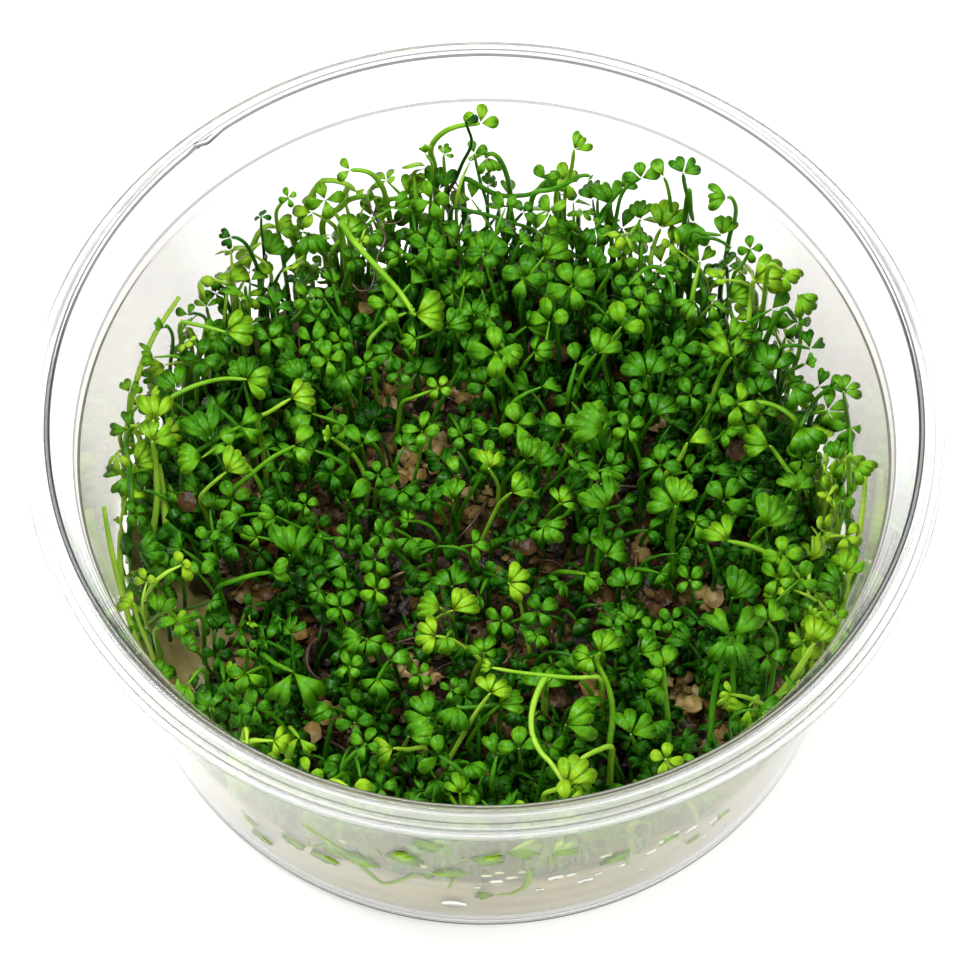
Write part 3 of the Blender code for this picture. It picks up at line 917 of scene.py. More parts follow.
def frond_tree():
    """Sweeps a stalk along each line of the mesh and puts a leaf on each point marked as a tip."""
    made = Tree("fronds", (
        ("Leaf shapes", "NodeSocketCollection", None), ("Stalk sides", "NodeSocketInt", 6),
        ("Stalk finish", "NodeSocketMaterial", None), ("Leaf finish", "NodeSocketMaterial", None)))
    given = made.start.outputs
    lines = made.node("GeometryNodeMeshToCurve", {"Mesh": given["Geometry"]})
    section = made.node("GeometryNodeCurvePrimitiveCircle", {
        "Resolution": given["Stalk sides"], "Radius": 1.0})
    stalks = made.node("GeometryNodeCurveToMesh", {
        "Curve": lines.outputs[0], "Profile Curve": section.outputs[0], "Scale": made.named("girth", "FLOAT"),
        "Fill Caps": True})
    leaves = made.node("GeometryNodeInstanceOnPoints", {
        "Points": given["Geometry"], "Selection": made.named("tip", "BOOLEAN"),
        "Instance": made.children_of(given["Leaf shapes"]), "Pick Instance": True,
        "Instance Index": made.named("kind", "INT"), "Rotation": made.named("turn", "FLOAT_VECTOR"),
        "Scale": made.named("size", "FLOAT")})
    both = made.node("GeometryNodeJoinGeometry")
    for part in (leaves, stalks):
        made.tree.links.new(part.outputs[0], both.inputs[0])
    smooth = made.node("GeometryNodeSetShadeSmooth", {"Geometry": made.realized(both.outputs[0])})
    green = made.coated(smooth.outputs[0], given["Stalk finish"])
    return made.finish(made.coated(green, given["Leaf finish"], made.named("blade", "BOOLEAN")))


# Leaves

EGG = ((-1, 0.50), (-0.88, 0.76), (-0.58, 0.93), (-0.20, 1.0),
       (0.20, 1.0), (0.58, 0.93), (0.88, 0.76), (1, 0.50))


def lobed(lobes, notch):
    """The margin of a blade with round lobes and narrow notches: places across it and how far out it is."""
    margin = []
    for lobe in range(lobes):
        for place, radius in ((0.13, 0.88), (0.36, 0.99), (0.64, 0.99), (0.87, 0.88)):
            across = (lobe + place) / lobes * 2 - 1
            margin.append((across, radius * (1 - 0.14 * across * across)))
        if lobe < lobes - 1:
            margin.append(((lobe + 1) / lobes * 2 - 1, notch))
    return margin


# Each kind of leaf: the headings of its blades in degrees (0 is away from the stalk), half the angle across
# each, its margin, how much they lift, fold along the middle and droop, its reach as a share of its width,
# and how far its middle is ahead of the stalk as a share of its width
LEAF_KINDS = {
    "open": ((45, 135, 225, 315), 33, EGG, 14, 0.15, 0.16, 0.52, 0),
    "three": ((-76, 0, 77), 33, EGG, 16, 0.15, 0.20, 0.58, 0.2),
    "half": ((-27, 0, 26), 21, EGG, 24, 0.20, 0.16, 0.88, 0.4),
    "pair": ((-46, 44), 34, EGG, 14, 0.16, 0.20, 0.66, 0.3),
    "butterfly": ((-40, 37), 32, lobed(2, 0.84), 12, 0.15, 0.35, 0.70, 0.32),
    "spoon": ((0,), 32, EGG, 8, 0.30, 0.25, 0.95, 0.45),
    "fan": ((-40, -13, 14, 41), 20, EGG, 14, 0.14, 0.26, 0.72, 0.36),
    "palm": ((-64, -22, 22, 65), 25, EGG, 8, 0.10, 0.30, 0.60, 0.32),
    "umbrella": ((-88, -30, 30, 89), 31, EGG, -6, -0.08, 0.60, 0.56, 0.1),
    "pressed": ((0,), 50, lobed(4, 0.80), 0, 0.0, 0.03, 0.78, 0.36),
    "young": ((0,), 40, lobed(3, 0.80), 45, 0.40, -0.25, 0.90, 0.4),
}
VARIANTS = 3
LEAF_THICKNESS = 0.035 * MM


def add_leaflet(mesh_data, uv, heading, span, margin, length, lift, fold, droop, twist):
    """One blade: thin and closed, with a ring of points part way out on either side."""
    forward = polar(1, heading)
    side = Vector((-forward.y, forward.x, 0))
    side.rotate(Quaternion(forward, twist))
    ahead = forward * math.cos(lift) + UP * math.sin(lift)
    normal = ahead.cross(side)
    lobes = 2 if margin is EGG else (len(margin) + 1) // 5
    stem = 0.06 * MM
    base = mesh_data.verts.new(ahead * stem)
    places = {base: (0.0, lobes / 2)}

    def add(share, radial, raised, along):
        angle = span * share
        across = math.sin(angle) * radial * length
        out = math.cos(angle) * radial * length + stem
        height = fold * abs(across) - droop * length * radial * radial + raised
        vertex = mesh_data.verts.new(ahead * out + side * across + normal * height)
        places[vertex] = (along, lobes * (1 + share) / 2)
        return vertex

    rim = [add(share, radius, 0, 1.0) for share, radius in margin]
    middle = [add(share, 0.5, LEAF_THICKNESS + 0.05 * length, 0.5) for share, _ in margin[1:-1]]
    below = add(0, 0.6, -LEAF_THICKNESS, 0.6)
    corners = [(base, rim[0], middle[0]), (base, middle[-1], rim[-1])]
    corners += [(base, a, b) for a, b in zip(middle, middle[1:])]
    corners += [(rim[0], rim[1], middle[0]), (middle[-1], rim[-2], rim[-1])]
    corners += [(a, rim[i + 1], rim[i + 2], b) for i, (a, b) in enumerate(zip(middle, middle[1:]))]
    corners += [(b, a, below) for a, b in zip([base] + rim, rim + [base])]
    for corner in corners:
        for loop in mesh_data.faces.new(corner).loops:
            loop[uv].uv = places[loop.vert]


def leaf_shapes():
    """The leaf shapes that the fronds are given, some of each kind, in a collection of their own."""
    chance = random.Random(5)
    shapes = bpy.data.collections.new("leaf_shapes")
    for number, (headings, span, margin, lift, fold, droop, _, _) in enumerate(LEAF_KINDS.values()):
        for variant in range(VARIANTS):
            mesh_data = bmesh.new()
            uv = mesh_data.loops.layers.uv.new("leaflet")
            for i, heading in enumerate(headings):
                length = MM * chance.uniform(0.88, 1.08)
                turn = math.radians(90 + heading + chance.uniform(-7, 7))
                up = math.radians(lift + chance.uniform(-9, 9) + 7 * (i % 2))
                half = math.radians(span * chance.uniform(0.9, 1.08))
                bent, hung = fold * chance.uniform(0.5, 1.5), droop * chance.uniform(0.6, 1.5)
                twist = chance.uniform(-0.3, 0.3)
                add_leaflet(mesh_data, uv, turn, half, margin, length, up, bent, hung, twist)
            bmesh.ops.recalc_face_normals(mesh_data, faces=mesh_data.faces)
            leaf = as_piece(f"leaf_{number}_{variant}", mesh_data, FINISH["leaf_green"], home=shapes)
            give(leaf.data, "blade", [True] * len(leaf.data.polygons), "BOOLEAN", "FACE")
    return shapes


# Fronds


class Frond:
    """A stalk along a path to its leaf, which lies across its normal and points along its heading."""

    def __init__(self, path, kind, reach, ahead, normal, youth_and_painted_light, girth):
        self.kind = kind
        self.reach = reach
        self.youth_and_painted_light = youth_and_painted_light
        self.girth = girth * STALK_GIRTH
        normal = normal.normalized()
        self.ahead = (ahead - normal * ahead.dot(normal)).normalized()
        self.turn = Matrix((self.ahead.cross(normal), self.ahead, normal)).transposed().to_euler()
        self.path = path if kind == "pressed" else [inside_cup(point, STALK_ROOM) for point in path]
        middle = self.middle
        flat_reach = reach * (0.9 if self.centred else 0.55) * math.hypot(self.ahead.x, self.ahead.y)
        over = middle.xy.length + flat_reach + LEAF_ROOM - inner_radius(middle.z)
        if over > 0 and kind != "pressed":
            inward = middle.xy.normalized() * -over
            last = len(self.path) - 1
            self.path = [point + Vector((*inward, 0)) * (i / last) ** 2 for i, point in enumerate(self.path)]

    @property
    def centred(self):
        return self.kind == "open"

    @property
    def tip(self):
        return self.path[-1]

    @property
    def middle(self):
        """Roughly the middle of the leaf."""
        return self.tip if self.centred else self.tip + self.ahead * self.reach * 0.5


def inside_cup(point, room):
    """Moves a point in from the wall if it is nearer to it than its room."""
    limit = inner_radius(point.z) - room
    out = math.hypot(point.x, point.y)
    if out <= limit:
        return point
    return Vector((point.x * limit / out, point.y * limit / out, point.z))


# The fronds that are seen one by one. First the kind of leaf, its width in mm, the heading of the leaf in
# degrees, its youth and painted light from 0 (dark: old and shaded) to 1 (lime: young and lit), above 1 for
# the fronds against the front of the wall, the thickness of the stalk, and where it stands: along the wall
# with a room to it in mm, rising between two heights in mm, or against the front of the wall.
# Then come the pixel of the leaf's middle and the pixels of the stalk from below.
SEEN_FRONDS = """
three 3.8 80 0.80 1.3 wall 0 / 481,117 / 434,168 430,152 434,141 444,132 456,127 467,125
spoon 1.6 20 0.12 0.8 wall 1 / 471,119 / 447,195 455,180 462,163 469,150 471,140 467,128
pair 2.5 60 0.60 0.8 wall 1 / 477,148 / 487,207 481,186 477,170
fan 2.7 285 0.65 1.2 wall 1 / 489,166 / 508,218 510,200 507,178 500,161 492,154 486,156
young 1.8 100 0.75 0.7 wall 1 / 424,148 / 432,168
palm 2.0 60 0.70 0.8 wall 1 / 446,150 / 444,170
pair 2.5 185 0.75 1.2 wall 0 / 343,171 / 385,197 381,186 372,175 362,171
young 1.6 320 0.95 1.4 wall 0 / 359,195 / 291,232 290,215 297,201 308,189 320,182 333,181 347,185
fan 3.8 60 0.80 1.3 wall 1 / 413,186 / 322,226 327,214 338,205 352,199 366,197 385,200
fan 4.7 15 0.80 1.3 rise 34 30.5 / 430,312 / 340,224 352,240 368,258 385,276 400,293
pair 2.7 75 0.60 1.2 wall 1 / 547,173 / 462,180 480,187 497,195 515,196 533,193
young 1.3 300 0.60 1.1 wall 1.5 / 592,180 / 533,195 550,190 565,184 580,176
fan 2.7 50 0.80 1.1 wall 1.5 / 579,143 / 556,192 566,181 571,168
fan 2.9 355 0.55 0.9 wall 3 / 553,238 / 452,208 468,211 490,216 512,223 532,229
three 2.9 45 0.50 0.8 wall 2.5 / 526,209 / 509,228 516,220
butterfly 3.4 80 0.50 0.8 wall 4 / 459,232 / 461,258
open 4.2 20 0.50 0.8 rise 26 33 / 428,248 / 434,278 431,262
open 4.5 50 0.45 0.8 rise 26 33 / 488,252 / 492,285 490,268
open 4.9 30 0.50 0.8 rise 26 32.5 / 523,277 / 520,312 522,292
open 5.4 70 0.60 1.0 rise 26 32 / 571,286 / 533,320 545,306 557,296
fan 2.9 10 0.90 1.4 wall 0 / 283,224 / 231,278 229,262 232,247 240,233 250,226 262,223
palm 2.2 200 0.25 0.9 wall 0 / 225,240 / 260,292 258,272 253,258 246,245 238,239
umbrella 1.8 90 0.20 0.7 wall 1 / 261,216 / 264,263 263,245 261,230
open 2.2 60 0.70 0.9 wall 1 / 288,198 / 277,226 276,213 280,205
umbrella 2.0 300 0.45 0.9 wall 0 / 216,283 / 226,300 224,290
young 2.0 170 0.50 0.8 wall 0 / 155,326 / 172,338 166,326
pair 2.0 110 0.55 0.8 wall 0 / 186,310 / 206,320 195,314
fan 3.6 60 0.60 0.9 wall 2 / 272,245 / 262,285 265,262
fan 4.0 290 0.50 0.9 wall 3 / 313,245 / 300,285 304,262
palm 2.5 100 0.60 0.8 wall 1 / 205,300 / 212,330 208,315
fan 3.8 110 0.55 1.0 wall 2 / 605,193 / 618,245 612,220
spoon 2.2 110 0.60 0.8 wall 2 / 594,190 / 600,235 597,212
three 3.6 95 0.55 0.9 wall 1 / 640,172 / 611,242 616,215 620,197 628,185
spoon 2.5 115 0.70 0.9 wall 1 / 659,168 / 670,205 667,187
palm 3.4 80 0.45 1.1 wall 0 / 684,164 / 705,300 700,280 695,262 690,240 686,215 687,198 684,185
fan 2.5 40 0.50 0.9 wall 1 / 628,183 / 600,215 612,200
fan 3.1 185 0.65 1.0 wall 0 / 716,198 / 728,254 729,236 734,220 735,207 731,198
fan 3.1 80 0.65 1.0 wall 1 / 722,225 / 690,233 702,233
young 1.3 290 0.50 0.8 wall 1 / 729,251 / 693,241 710,238 722,242
open 2.9 50 0.60 0.9 wall 1 / 750,249 / 731,288 734,273 742,264
umbrella 3.4 100 0.35 0.9 wall 2 / 726,263 / 728,300 727,280
fan 4.9 20 0.92 1.2 wall 2 / 768,274 / 748,330 750,300 752,285
fan 4.0 30 0.70 1.0 wall 4 / 740,292 / 735,330 730,310
fan 2.9 320 0.85 1.0 wall 0 / 790,277 / 768,266 778,268
fan 3.4 305 0.70 1.0 wall 0 / 804,303 / 799,350 800,320
umbrella 3.8 280 0.45 1.3 wall 2 / 797,325 / 764,345 774,322 785,308
butterfly 2.9 70 0.40 0.9 wall 0 / 820,337 / 783,348 798,343
young 2.2 10 0.50 0.9 wall 1 / 812,362 / 785,374 797,367
palm 3.6 50 0.65 1.2 wall 0 / 850,383 / 850,455 848,425
fan 2.5 30 0.40 1.2 wall 1 / 838,383 / 800,425 808,412 818,397
umbrella 3.8 270 0.55 1.2 wall 0 / 852,430 / 852,470
fan 4.5 70 0.80 1.0 wall 2 / 665,215 / 650,260 655,240
fan 4.5 260 0.50 1.2 wall 1 / 690,235 / 688,190 690,210
palm 2.9 100 0.60 0.9 wall 3 / 640,235 / 640,270
fan 2.9 80 0.60 0.9 wall 2 / 640,210 / 640,250
young 2.2 80 0.50 0.9 wall 3 / 570,225 / 566,250
palm 3.8 280 0.40 1.0 wall 3 / 596,240 / 610,205 604,215
fan 3.8 80 0.35 1.0 wall 2 / 440,178 / 450,210
umbrella 3.4 270 0.45 1.0 wall 3 / 415,235 / 410,205
fan 3.4 60 0.70 1.0 wall 3 / 350,225 / 330,255
palm 3.4 300 0.55 1.0 wall 4 / 375,240 / 350,232
fan 3.6 350 0.75 1.0 rise 28 31 / 258,382 / 168,402 186,390 205,383 225,379
fan 3.6 25 0.90 1.0 rise 27 31 / 301,394 / 258,420 270,412
butterfly 3.8 10 0.60 1.0 rise 25 30 / 251,425 / 190,458 205,447 222,436
pair 3.8 0 0.68 1.0 rise 24 30 / 305,446 / 232,492 252,474 272,458
fan 3.8 50 0.82 0.9 rise 25 30 / 234,463 / 200,500 208,488
fan 3.8 190 0.65 1.0 rise 24 29 / 190,460 / 245,436 230,440
fan 4.0 95 0.93 1.5 rise 18 31 / 152,408 / 168,545 164,500 158,465 153,440
palm 4.0 60 0.85 1.4 rise 18 30 / 158,432 / 152,545 157,500 156,465
butterfly 3.1 140 0.60 1.1 wall 0 / 119,424 / 131,500 128,470 124,445
fan 4.7 120 0.45 1.0 rise 24 29 / 202,425 / 220,450
palm 2.7 80 0.80 1.0 wall 0 / 130,385 / 128,420
fan 4.5 10 0.80 1.0 rise 30 31 / 240,330 / 180,325 195,325
open 4.0 60 0.65 0.9 rise 26 30 / 328,360 / 318,330 322,345
open 2.9 20 0.50 0.8 rise 24 29 / 365,364 / 360,390
palm 4.2 300 0.40 0.8 rise 24 28 / 350,383 / 345,360
open 3.8 100 0.55 0.8 rise 24 30 / 312,342 / 320,365
fan 3.4 120 0.40 0.8 rise 23 28 / 295,370 / 305,400
open 4.0 20 0.50 0.8 rise 24 30 / 270,340 / 262,370
palm 4.0 310 0.35 0.9 rise 25 29 / 225,345 / 210,325
open 4.5 40 0.40 0.9 rise 22 29 / 200,360 / 205,390
fan 3.8 120 0.50 0.9 rise 22 29 / 170,380 / 180,405
pair 2.5 90 0.60 0.8 rise 20 26 / 208,534 / 211,560
pair 3.6 25 0.35 0.8 rise 20 25 / 209,549 / 216,575
pair 2.9 90 0.55 0.8 rise 17 24 / 200,568 / 217,602 212,590
half 2.9 5 0.60 1.1 rise 20 24 / 281,572 / 218,588 235,581 255,575
palm 2.5 330 0.45 0.7 rise 17 22 / 216,605 / 185,610 200,606
butterfly 5.6 285 0.55 1.1 rise 23 27 / 297,688 / 262,655 275,664
three 3.6 260 0.60 0.9 rise 22 26 / 246,680 / 266,668
open 3.4 50 0.50 0.9 rise 20 27 / 255,708 / 293,742 283,726 270,714
butterfly 3.4 270 0.80 1.0 rise 22 26 / 299,748 / 290,728
palm 3.6 120 0.40 0.9 rise 20 27 / 205,700 / 215,725
young 1.4 100 0.90 1.5 rise 15.5 20 / 106,522 / 143,614 129,603 115,575 108,546
spoon 1.2 0 0.60 0.8 rise 17 19 / 139,527 / 115,564 119,548 128,533
spoon 1.4 20 0.60 0.8 rise 16 18 / 155,570 / 129,587 138,577
palm 2.9 60 0.55 0.9 rise 20 26 / 163,668 / 180,700
fan 3.4 30 0.45 0.9 rise 18 26 / 150,548 / 155,590 150,570
young 1.8 270 0.75 0.7 rise 17 22 / 250,627 / 248,610
palm 2.5 60 0.55 0.8 rise 16 22 / 190,642 / 210,672 200,655
fan 3.1 80 0.60 1.0 rise 16 23 / 160,605 / 150,625
open 4.2 340 0.50 0.9 rise 20 25 / 232,500 / 225,480
fan 4.7 95 0.50 0.9 rise 18 26 / 288,540 / 290,570
fan 2.9 0 0.30 0.9 rise 17 23 / 268,500 / 240,500
open 2.7 70 0.55 0.8 rise 17 24 / 305,505 / 298,540 299,520
palm 2.9 190 0.60 0.8 rise 26 29 / 408,340 / 440,330 428,335
young 1.6 10 0.70 0.9 rise 27 30 / 412,312 / 368,345 378,330 390,320
open 5.8 130 0.60 1.2 rise 20 30 / 495,352 / 521,425 519,403 512,387 503,375
fan 2.7 300 0.65 1.0 rise 26 30 / 510,358 / 500,345
open 2.9 15 0.75 0.8 rise 24 28 / 439,388 / 402,403 415,397
open 4.0 40 0.60 0.8 rise 19 27 / 422,431 / 414,480 420,455
pair 3.8 95 0.50 0.9 rise 19 27 / 361,435 / 347,480 349,455
fan 2.9 95 0.85 0.9 rise 20 28 / 488,459 / 498,502 498,485
half 2.9 80 0.60 1.1 rise 21 28 / 526,450 / 503,485 513,472
fan 4.0 60 0.45 1.0 rise 22 27 / 543,455 / 530,480
fan 3.1 40 0.78 0.9 rise 18 27 / 519,486 / 482,540 492,518 500,503
fan 3.1 90 0.60 0.9 rise 18 26 / 453,490 / 452,520
spoon 2.5 110 0.60 0.8 rise 20 26 / 455,465 / 460,490
umbrella 2.2 150 0.60 0.9 rise 20 25 / 407,520 / 440,540 432,528 420,522
open 3.1 60 0.50 0.8 rise 20 25 / 378,475 / 375,500
three 3.6 280 0.40 0.8 rise 20 25 / 403,497 / 420,480
spoon 3.1 45 0.55 0.8 rise 20 25 / 357,491 / 345,510
young 2.2 170 0.80 1.0 rise 19 28 / 324,437 / 368,487 361,467 350,452 336,441
open 3.4 300 0.45 0.8 rise 22 26 / 462,435 / 450,415
open 4.0 60 0.40 0.8 rise 23 27 / 485,385 / 495,410
fan 3.4 40 0.50 0.9 rise 26 30 / 455,320 / 475,340
open 3.1 350 0.45 0.8 rise 26 30 / 485,318 / 500,340
palm 3.4 100 0.40 0.8 rise 26 31 / 472,305 / 475,330
palm 4.2 0 0.95 0.8 rise 18 28 / 521,583 / 530,655 525,630 521,605
fan 3.8 45 0.90 0.9 rise 22 27 / 461,602 / 436,620
fan 3.4 170 0.68 0.9 rise 22 27 / 430,606 / 452,618
palm 4.0 170 0.90 0.9 rise 22 28 / 425,634 / 480,660 465,648 452,640
fan 2.9 260 0.70 0.9 rise 23 27 / 446,645 / 452,632
fan 3.1 200 0.50 0.8 rise 20 26 / 353,641 / 375,655
palm 3.4 300 0.55 0.8 rise 20 26 / 372,648 / 360,640
open 3.6 70 0.70 0.8 rise 17 27 / 376,590 / 380,625 377,605
open 3.8 100 0.55 0.8 rise 17 26 / 340,608 / 345,640
open 3.1 80 0.60 0.8 rise 17 26 / 350,667 / 352,700
umbrella 3.4 90 0.60 0.9 rise 20 28 / 484,650 / 480,690 482,672
palm 3.8 60 0.95 1.0 rise 18 29 / 496,684 / 447,765 462,738 475,715
fan 3.6 20 0.60 1.0 rise 20 27 / 510,702 / 468,745 482,722
fan 1.6 170 0.85 0.9 rise 27 28 / 487,667 / 600,678 580,678 560,677 540,675 515,672
three 2.9 0 0.60 0.8 rise 20 25 / 478,545 / 455,550
palm 4.0 100 0.40 0.9 rise 20 26 / 450,575 / 465,605
palm 3.8 280 0.45 0.9 rise 20 25 / 412,548 / 395,530
open 3.8 80 0.50 0.9 rise 18 25 / 375,560 / 378,590
palm 3.8 200 0.40 0.9 rise 18 25 / 335,568 / 350,590
open 3.4 270 0.40 0.9 rise 18 24 / 348,537 / 350,515
palm 4.0 270 0.45 0.9 rise 19 25 / 378,690 / 390,668
open 2.9 90 0.60 0.8 rise 18 25 / 420,675 / 425,700
palm 4.5 150 0.50 1.0 rise 20 26 / 418,712 / 448,720
half 3.4 10 0.62 1.0 rise 18 26 / 421,735 / 398,760
fan 3.8 260 0.50 0.9 rise 26 26 / 455,718 / 500,706 480,707 462,708
fan 2.9 200 0.92 1.0 rise 22 26 / 385,752 / 425,748 408,750
open 2.5 120 0.50 0.8 rise 18 25 / 452,690 / 460,715
three 3.8 100 0.60 0.9 rise 18 27 / 518,742 / 522,770
open 3.8 60 0.45 0.9 rise 18 25 / 355,723 / 360,745
palm 4.5 90 0.50 1.0 rise 20 27 / 545,675 / 548,700
fan 3.8 60 0.65 0.9 rise 24 30 / 602,343 / 578,385 586,367
pair 4.0 55 0.70 0.9 rise 25 31 / 627,318 / 603,360 610,343
open 3.8 60 0.60 0.9 rise 26 31 / 641,302 / 650,330 645,315
pair 2.7 210 0.55 1.0 rise 28 32 / 622,288 / 673,300 671,282 660,268 646,268 635,278
fan 4.9 170 0.55 1.0 rise 25 29 / 588,425 / 630,413 612,415
pair 3.4 100 0.60 1.0 rise 20 28 / 562,420 / 548,475 555,445
fan 3.8 0 0.60 1.0 rise 20 29 / 596,415 / 560,470 572,440
open 3.8 100 0.35 0.9 rise 22 28 / 630,396 / 635,420
palm 5.4 100 0.40 1.0 rise 24 29 / 645,360 / 650,395
open 4.2 60 0.40 1.0 rise 24 30 / 680,350 / 690,380
open 3.6 80 0.60 0.9 rise 22 27 / 628,428 / 640,460 634,443
fan 4.5 130 0.50 1.2 rise 18 28 / 598,497 / 596,575 600,540 602,515
three 3.4 60 0.50 0.9 rise 20 28 / 604,478 / 606,510
palm 5.1 120 0.60 1.3 rise 18 29 / 668,493 / 674,570 672,535
fan 3.4 60 0.70 1.2 rise 18 29 / 684,492 / 673,560 671,525
open 4.5 300 0.45 0.9 rise 22 27 / 660,465 / 640,480
fan 3.8 60 0.40 0.9 rise 22 28 / 660,405 / 640,440
spoon 3.4 20 0.88 1.1 rise 23 28 / 700,438 / 665,475 680,458
butterfly 4.0 95 0.70 1.2 rise 21 31 / 730,346 / 703,430 712,398 722,370
fan 2.9 200 0.50 1.2 rise 24 30 / 708,355 / 672,388 690,372
butterfly 3.8 100 0.65 1.0 rise 25 31 / 726,330 / 735,362
open 4.7 210 0.72 1.1 rise 27 29 / 738,404 / 795,420 778,407 760,402
palm 3.8 100 0.40 1.0 rise 22 28 / 757,382 / 770,410
fan 4.0 170 0.70 1.1 rise 24 28 / 757,443 / 798,485 786,467 775,452
open 3.4 300 0.50 0.9 rise 22 26 / 745,425 / 730,405
palm 5.6 100 0.40 1.0 rise 22 29 / 768,355 / 775,390
fan 4.9 70 0.60 1.2 rise 20 28 / 770,512 / 745,560 753,540
three 4.9 60 0.50 1.0 rise 20 27 / 728,493 / 730,525
palm 3.8 90 0.60 1.0 rise 20 28 / 796,478 / 790,515 793,498
fan 3.8 130 0.80 1.2 rise 25 28 / 720,531 / 782,565 765,552 748,545
open 4.2 55 0.70 1.0 rise 22 28 / 783,555 / 830,608 815,592 800,577
open 4.0 100 0.62 1.0 rise 20 27 / 778,578 / 770,610
butterfly 5.4 85 0.55 1.4 rise 18 29 / 733,622 / 711,745 714,700 721,665
fan 4.5 270 0.50 1.3 rise 18 28 / 732,650 / 738,725 734,690
palm 4.2 95 0.62 1.2 rise 18 28 / 768,610 / 768,705 774,670 777,640
fan 4.0 65 0.92 1.5 rise 18 27 / 820,631 / 765,710 785,688 800,667
young 2.2 40 0.85 1.0 rise 20 27 / 815,613 / 812,645
three 4.0 150 0.62 1.3 rise 18 28 / 658,664 / 668,765 669,725 666,695
palm 3.8 200 0.50 1.0 rise 20 26 / 652,688 / 665,710
open 4.2 40 0.45 1.0 rise 17 25 / 768,655 / 765,690
fan 4.5 60 0.40 1.0 rise 18 26 / 740,585 / 730,620
fan 3.6 70 0.70 1.3 rise 20 29 / 604,642 / 610,748 613,720 612,700 606,680 597,662
palm 3.6 200 0.65 1.0 rise 24 28 / 582,660 / 604,655
fan 4.5 60 0.95 1.2 rise 27 28 / 574,773 / 546,678 537,695 532,715 533,735 541,752 552,764
palm 2.9 350 0.92 1.1 rise 24 27 / 586,783 / 545,795 556,790
young 1.3 200 0.90 1.2 rise 24 26 / 575,762 / 612,747 597,751
open 2.9 90 0.50 0.9 rise 17 25 / 614,628 / 618,655
palm 2.9 100 0.50 0.9 rise 17 25 / 630,612 / 632,640
open 3.1 100 0.50 0.9 rise 17 25 / 672,620 / 676,650
open 3.1 80 0.50 0.9 rise 17 25 / 650,630 / 655,655
fan 3.4 30 0.50 0.9 rise 17 25 / 650,648 / 635,670
fan 4.5 20 0.60 1.0 rise 18 27 / 580,720 / 565,745
palm 4.5 70 0.55 1.1 rise 18 27 / 636,722 / 640,755
open 3.4 90 0.50 1.0 rise 17 25 / 690,580 / 695,610
palm 4.2 60 0.50 1.0 rise 17 25 / 612,545 / 600,565
palm 3.4 60 0.65 1.0 rise 19 27 / 565,495 / 545,520
palm 3.8 300 0.55 0.9 rise 21 26 / 550,535 / 575,505 565,515
palm 4.0 100 0.45 1.0 rise 17 25 / 625,575 / 630,600
open 3.8 80 0.45 1.0 rise 22 28 / 690,395 / 700,420
fan 3.8 300 0.50 1.1 rise 22 29 / 800,395 / 790,430
fan 4.5 290 0.50 1.2 rise 24 29 / 805,440 / 815,400
palm 3.8 300 0.80 1.2 wall 0 / 850,470 / 845,440
fan 3.1 320 0.80 1.1 wall 0 / 870,470 / 852,455
fan 2.9 90 0.45 1.2 wall 2 / 835,450 / 840,480
palm 3.8 150 0.65 1.1 rise 20 26 / 845,560 / 862,590
fan 3.4 60 0.80 1.1 rise 20 27 / 860,565 / 856,600
fan 3.6 150 0.45 1.1 rise 19 26 / 830,580 / 840,600
pressed 2.6 0 1.35 1.3 front / 427,872 / 305,823 345,850 372,873 385,882 400,879 415,873
pressed 5.0 300 1.30 0.6 front / 322,860 / 330,842
pressed 4.3 200 1.25 0.6 front / 296,850 / 310,840
pressed 5.5 60 1.35 0.6 front / 335,835 / 325,850
pressed 6.0 10 1.35 0.6 front / 402,850 / 376,846
pressed 4.8 90 1.35 0.6 front / 455,862 / 450,886
pressed 5.5 60 1.30 0.6 front / 362,846 / 352,858
pressed 4.6 200 1.30 0.6 front / 432,848 / 450,852
pressed 6.0 0 1.35 0.8 front / 522,851 / 494,854
pressed 5.3 340 1.25 0.6 front / 484,862 / 462,858
pressed 3.1 180 1.35 1.2 front / 487,893 / 530,870 526,884 512,892
pressed 3.1 60 1.35 0.6 front / 668,834 / 660,844
pressed 2.6 330 1.25 0.5 front / 692,845 / 684,838
pressed 4.8 40 1.10 0.6 front / 562,845 / 550,862
pressed 4.3 120 1.20 0.6 front / 250,815 / 262,832
pressed 4.1 300 1.15 0.6 front / 262,838 / 256,822
pressed 4.3 120 1.10 0.6 front / 618,845 / 628,862
pressed 2.9 50 1.35 0.5 front / 722,812 / 712,824
"""


def place_seen(pixel, share, leaf, where, figures):
    """The place of a point of a frond from its pixel. The share says how far along the frond it is."""
    if where == "rise":
        low, high = figures
        return on_level(pixel, (low + (high - low) * share) * MM)
    if where == "front":
        return on_front_wall(pixel, -PRESSED_IN)
    across = (leaf[0] - RIM_MIDDLE_PIXEL[0]) / BACK_PIXELS_PER_MM * MM
    point = on_plane(pixel, math.sqrt(max(BACK_WALL ** 2 - across ** 2, MM ** 2)) - figures[0] * MM)
    lowest = BACK_LEAVES_OVER if share == 1 else BACK_STALKS_OVER
    return point if point.z > lowest else on_level(pixel, lowest)


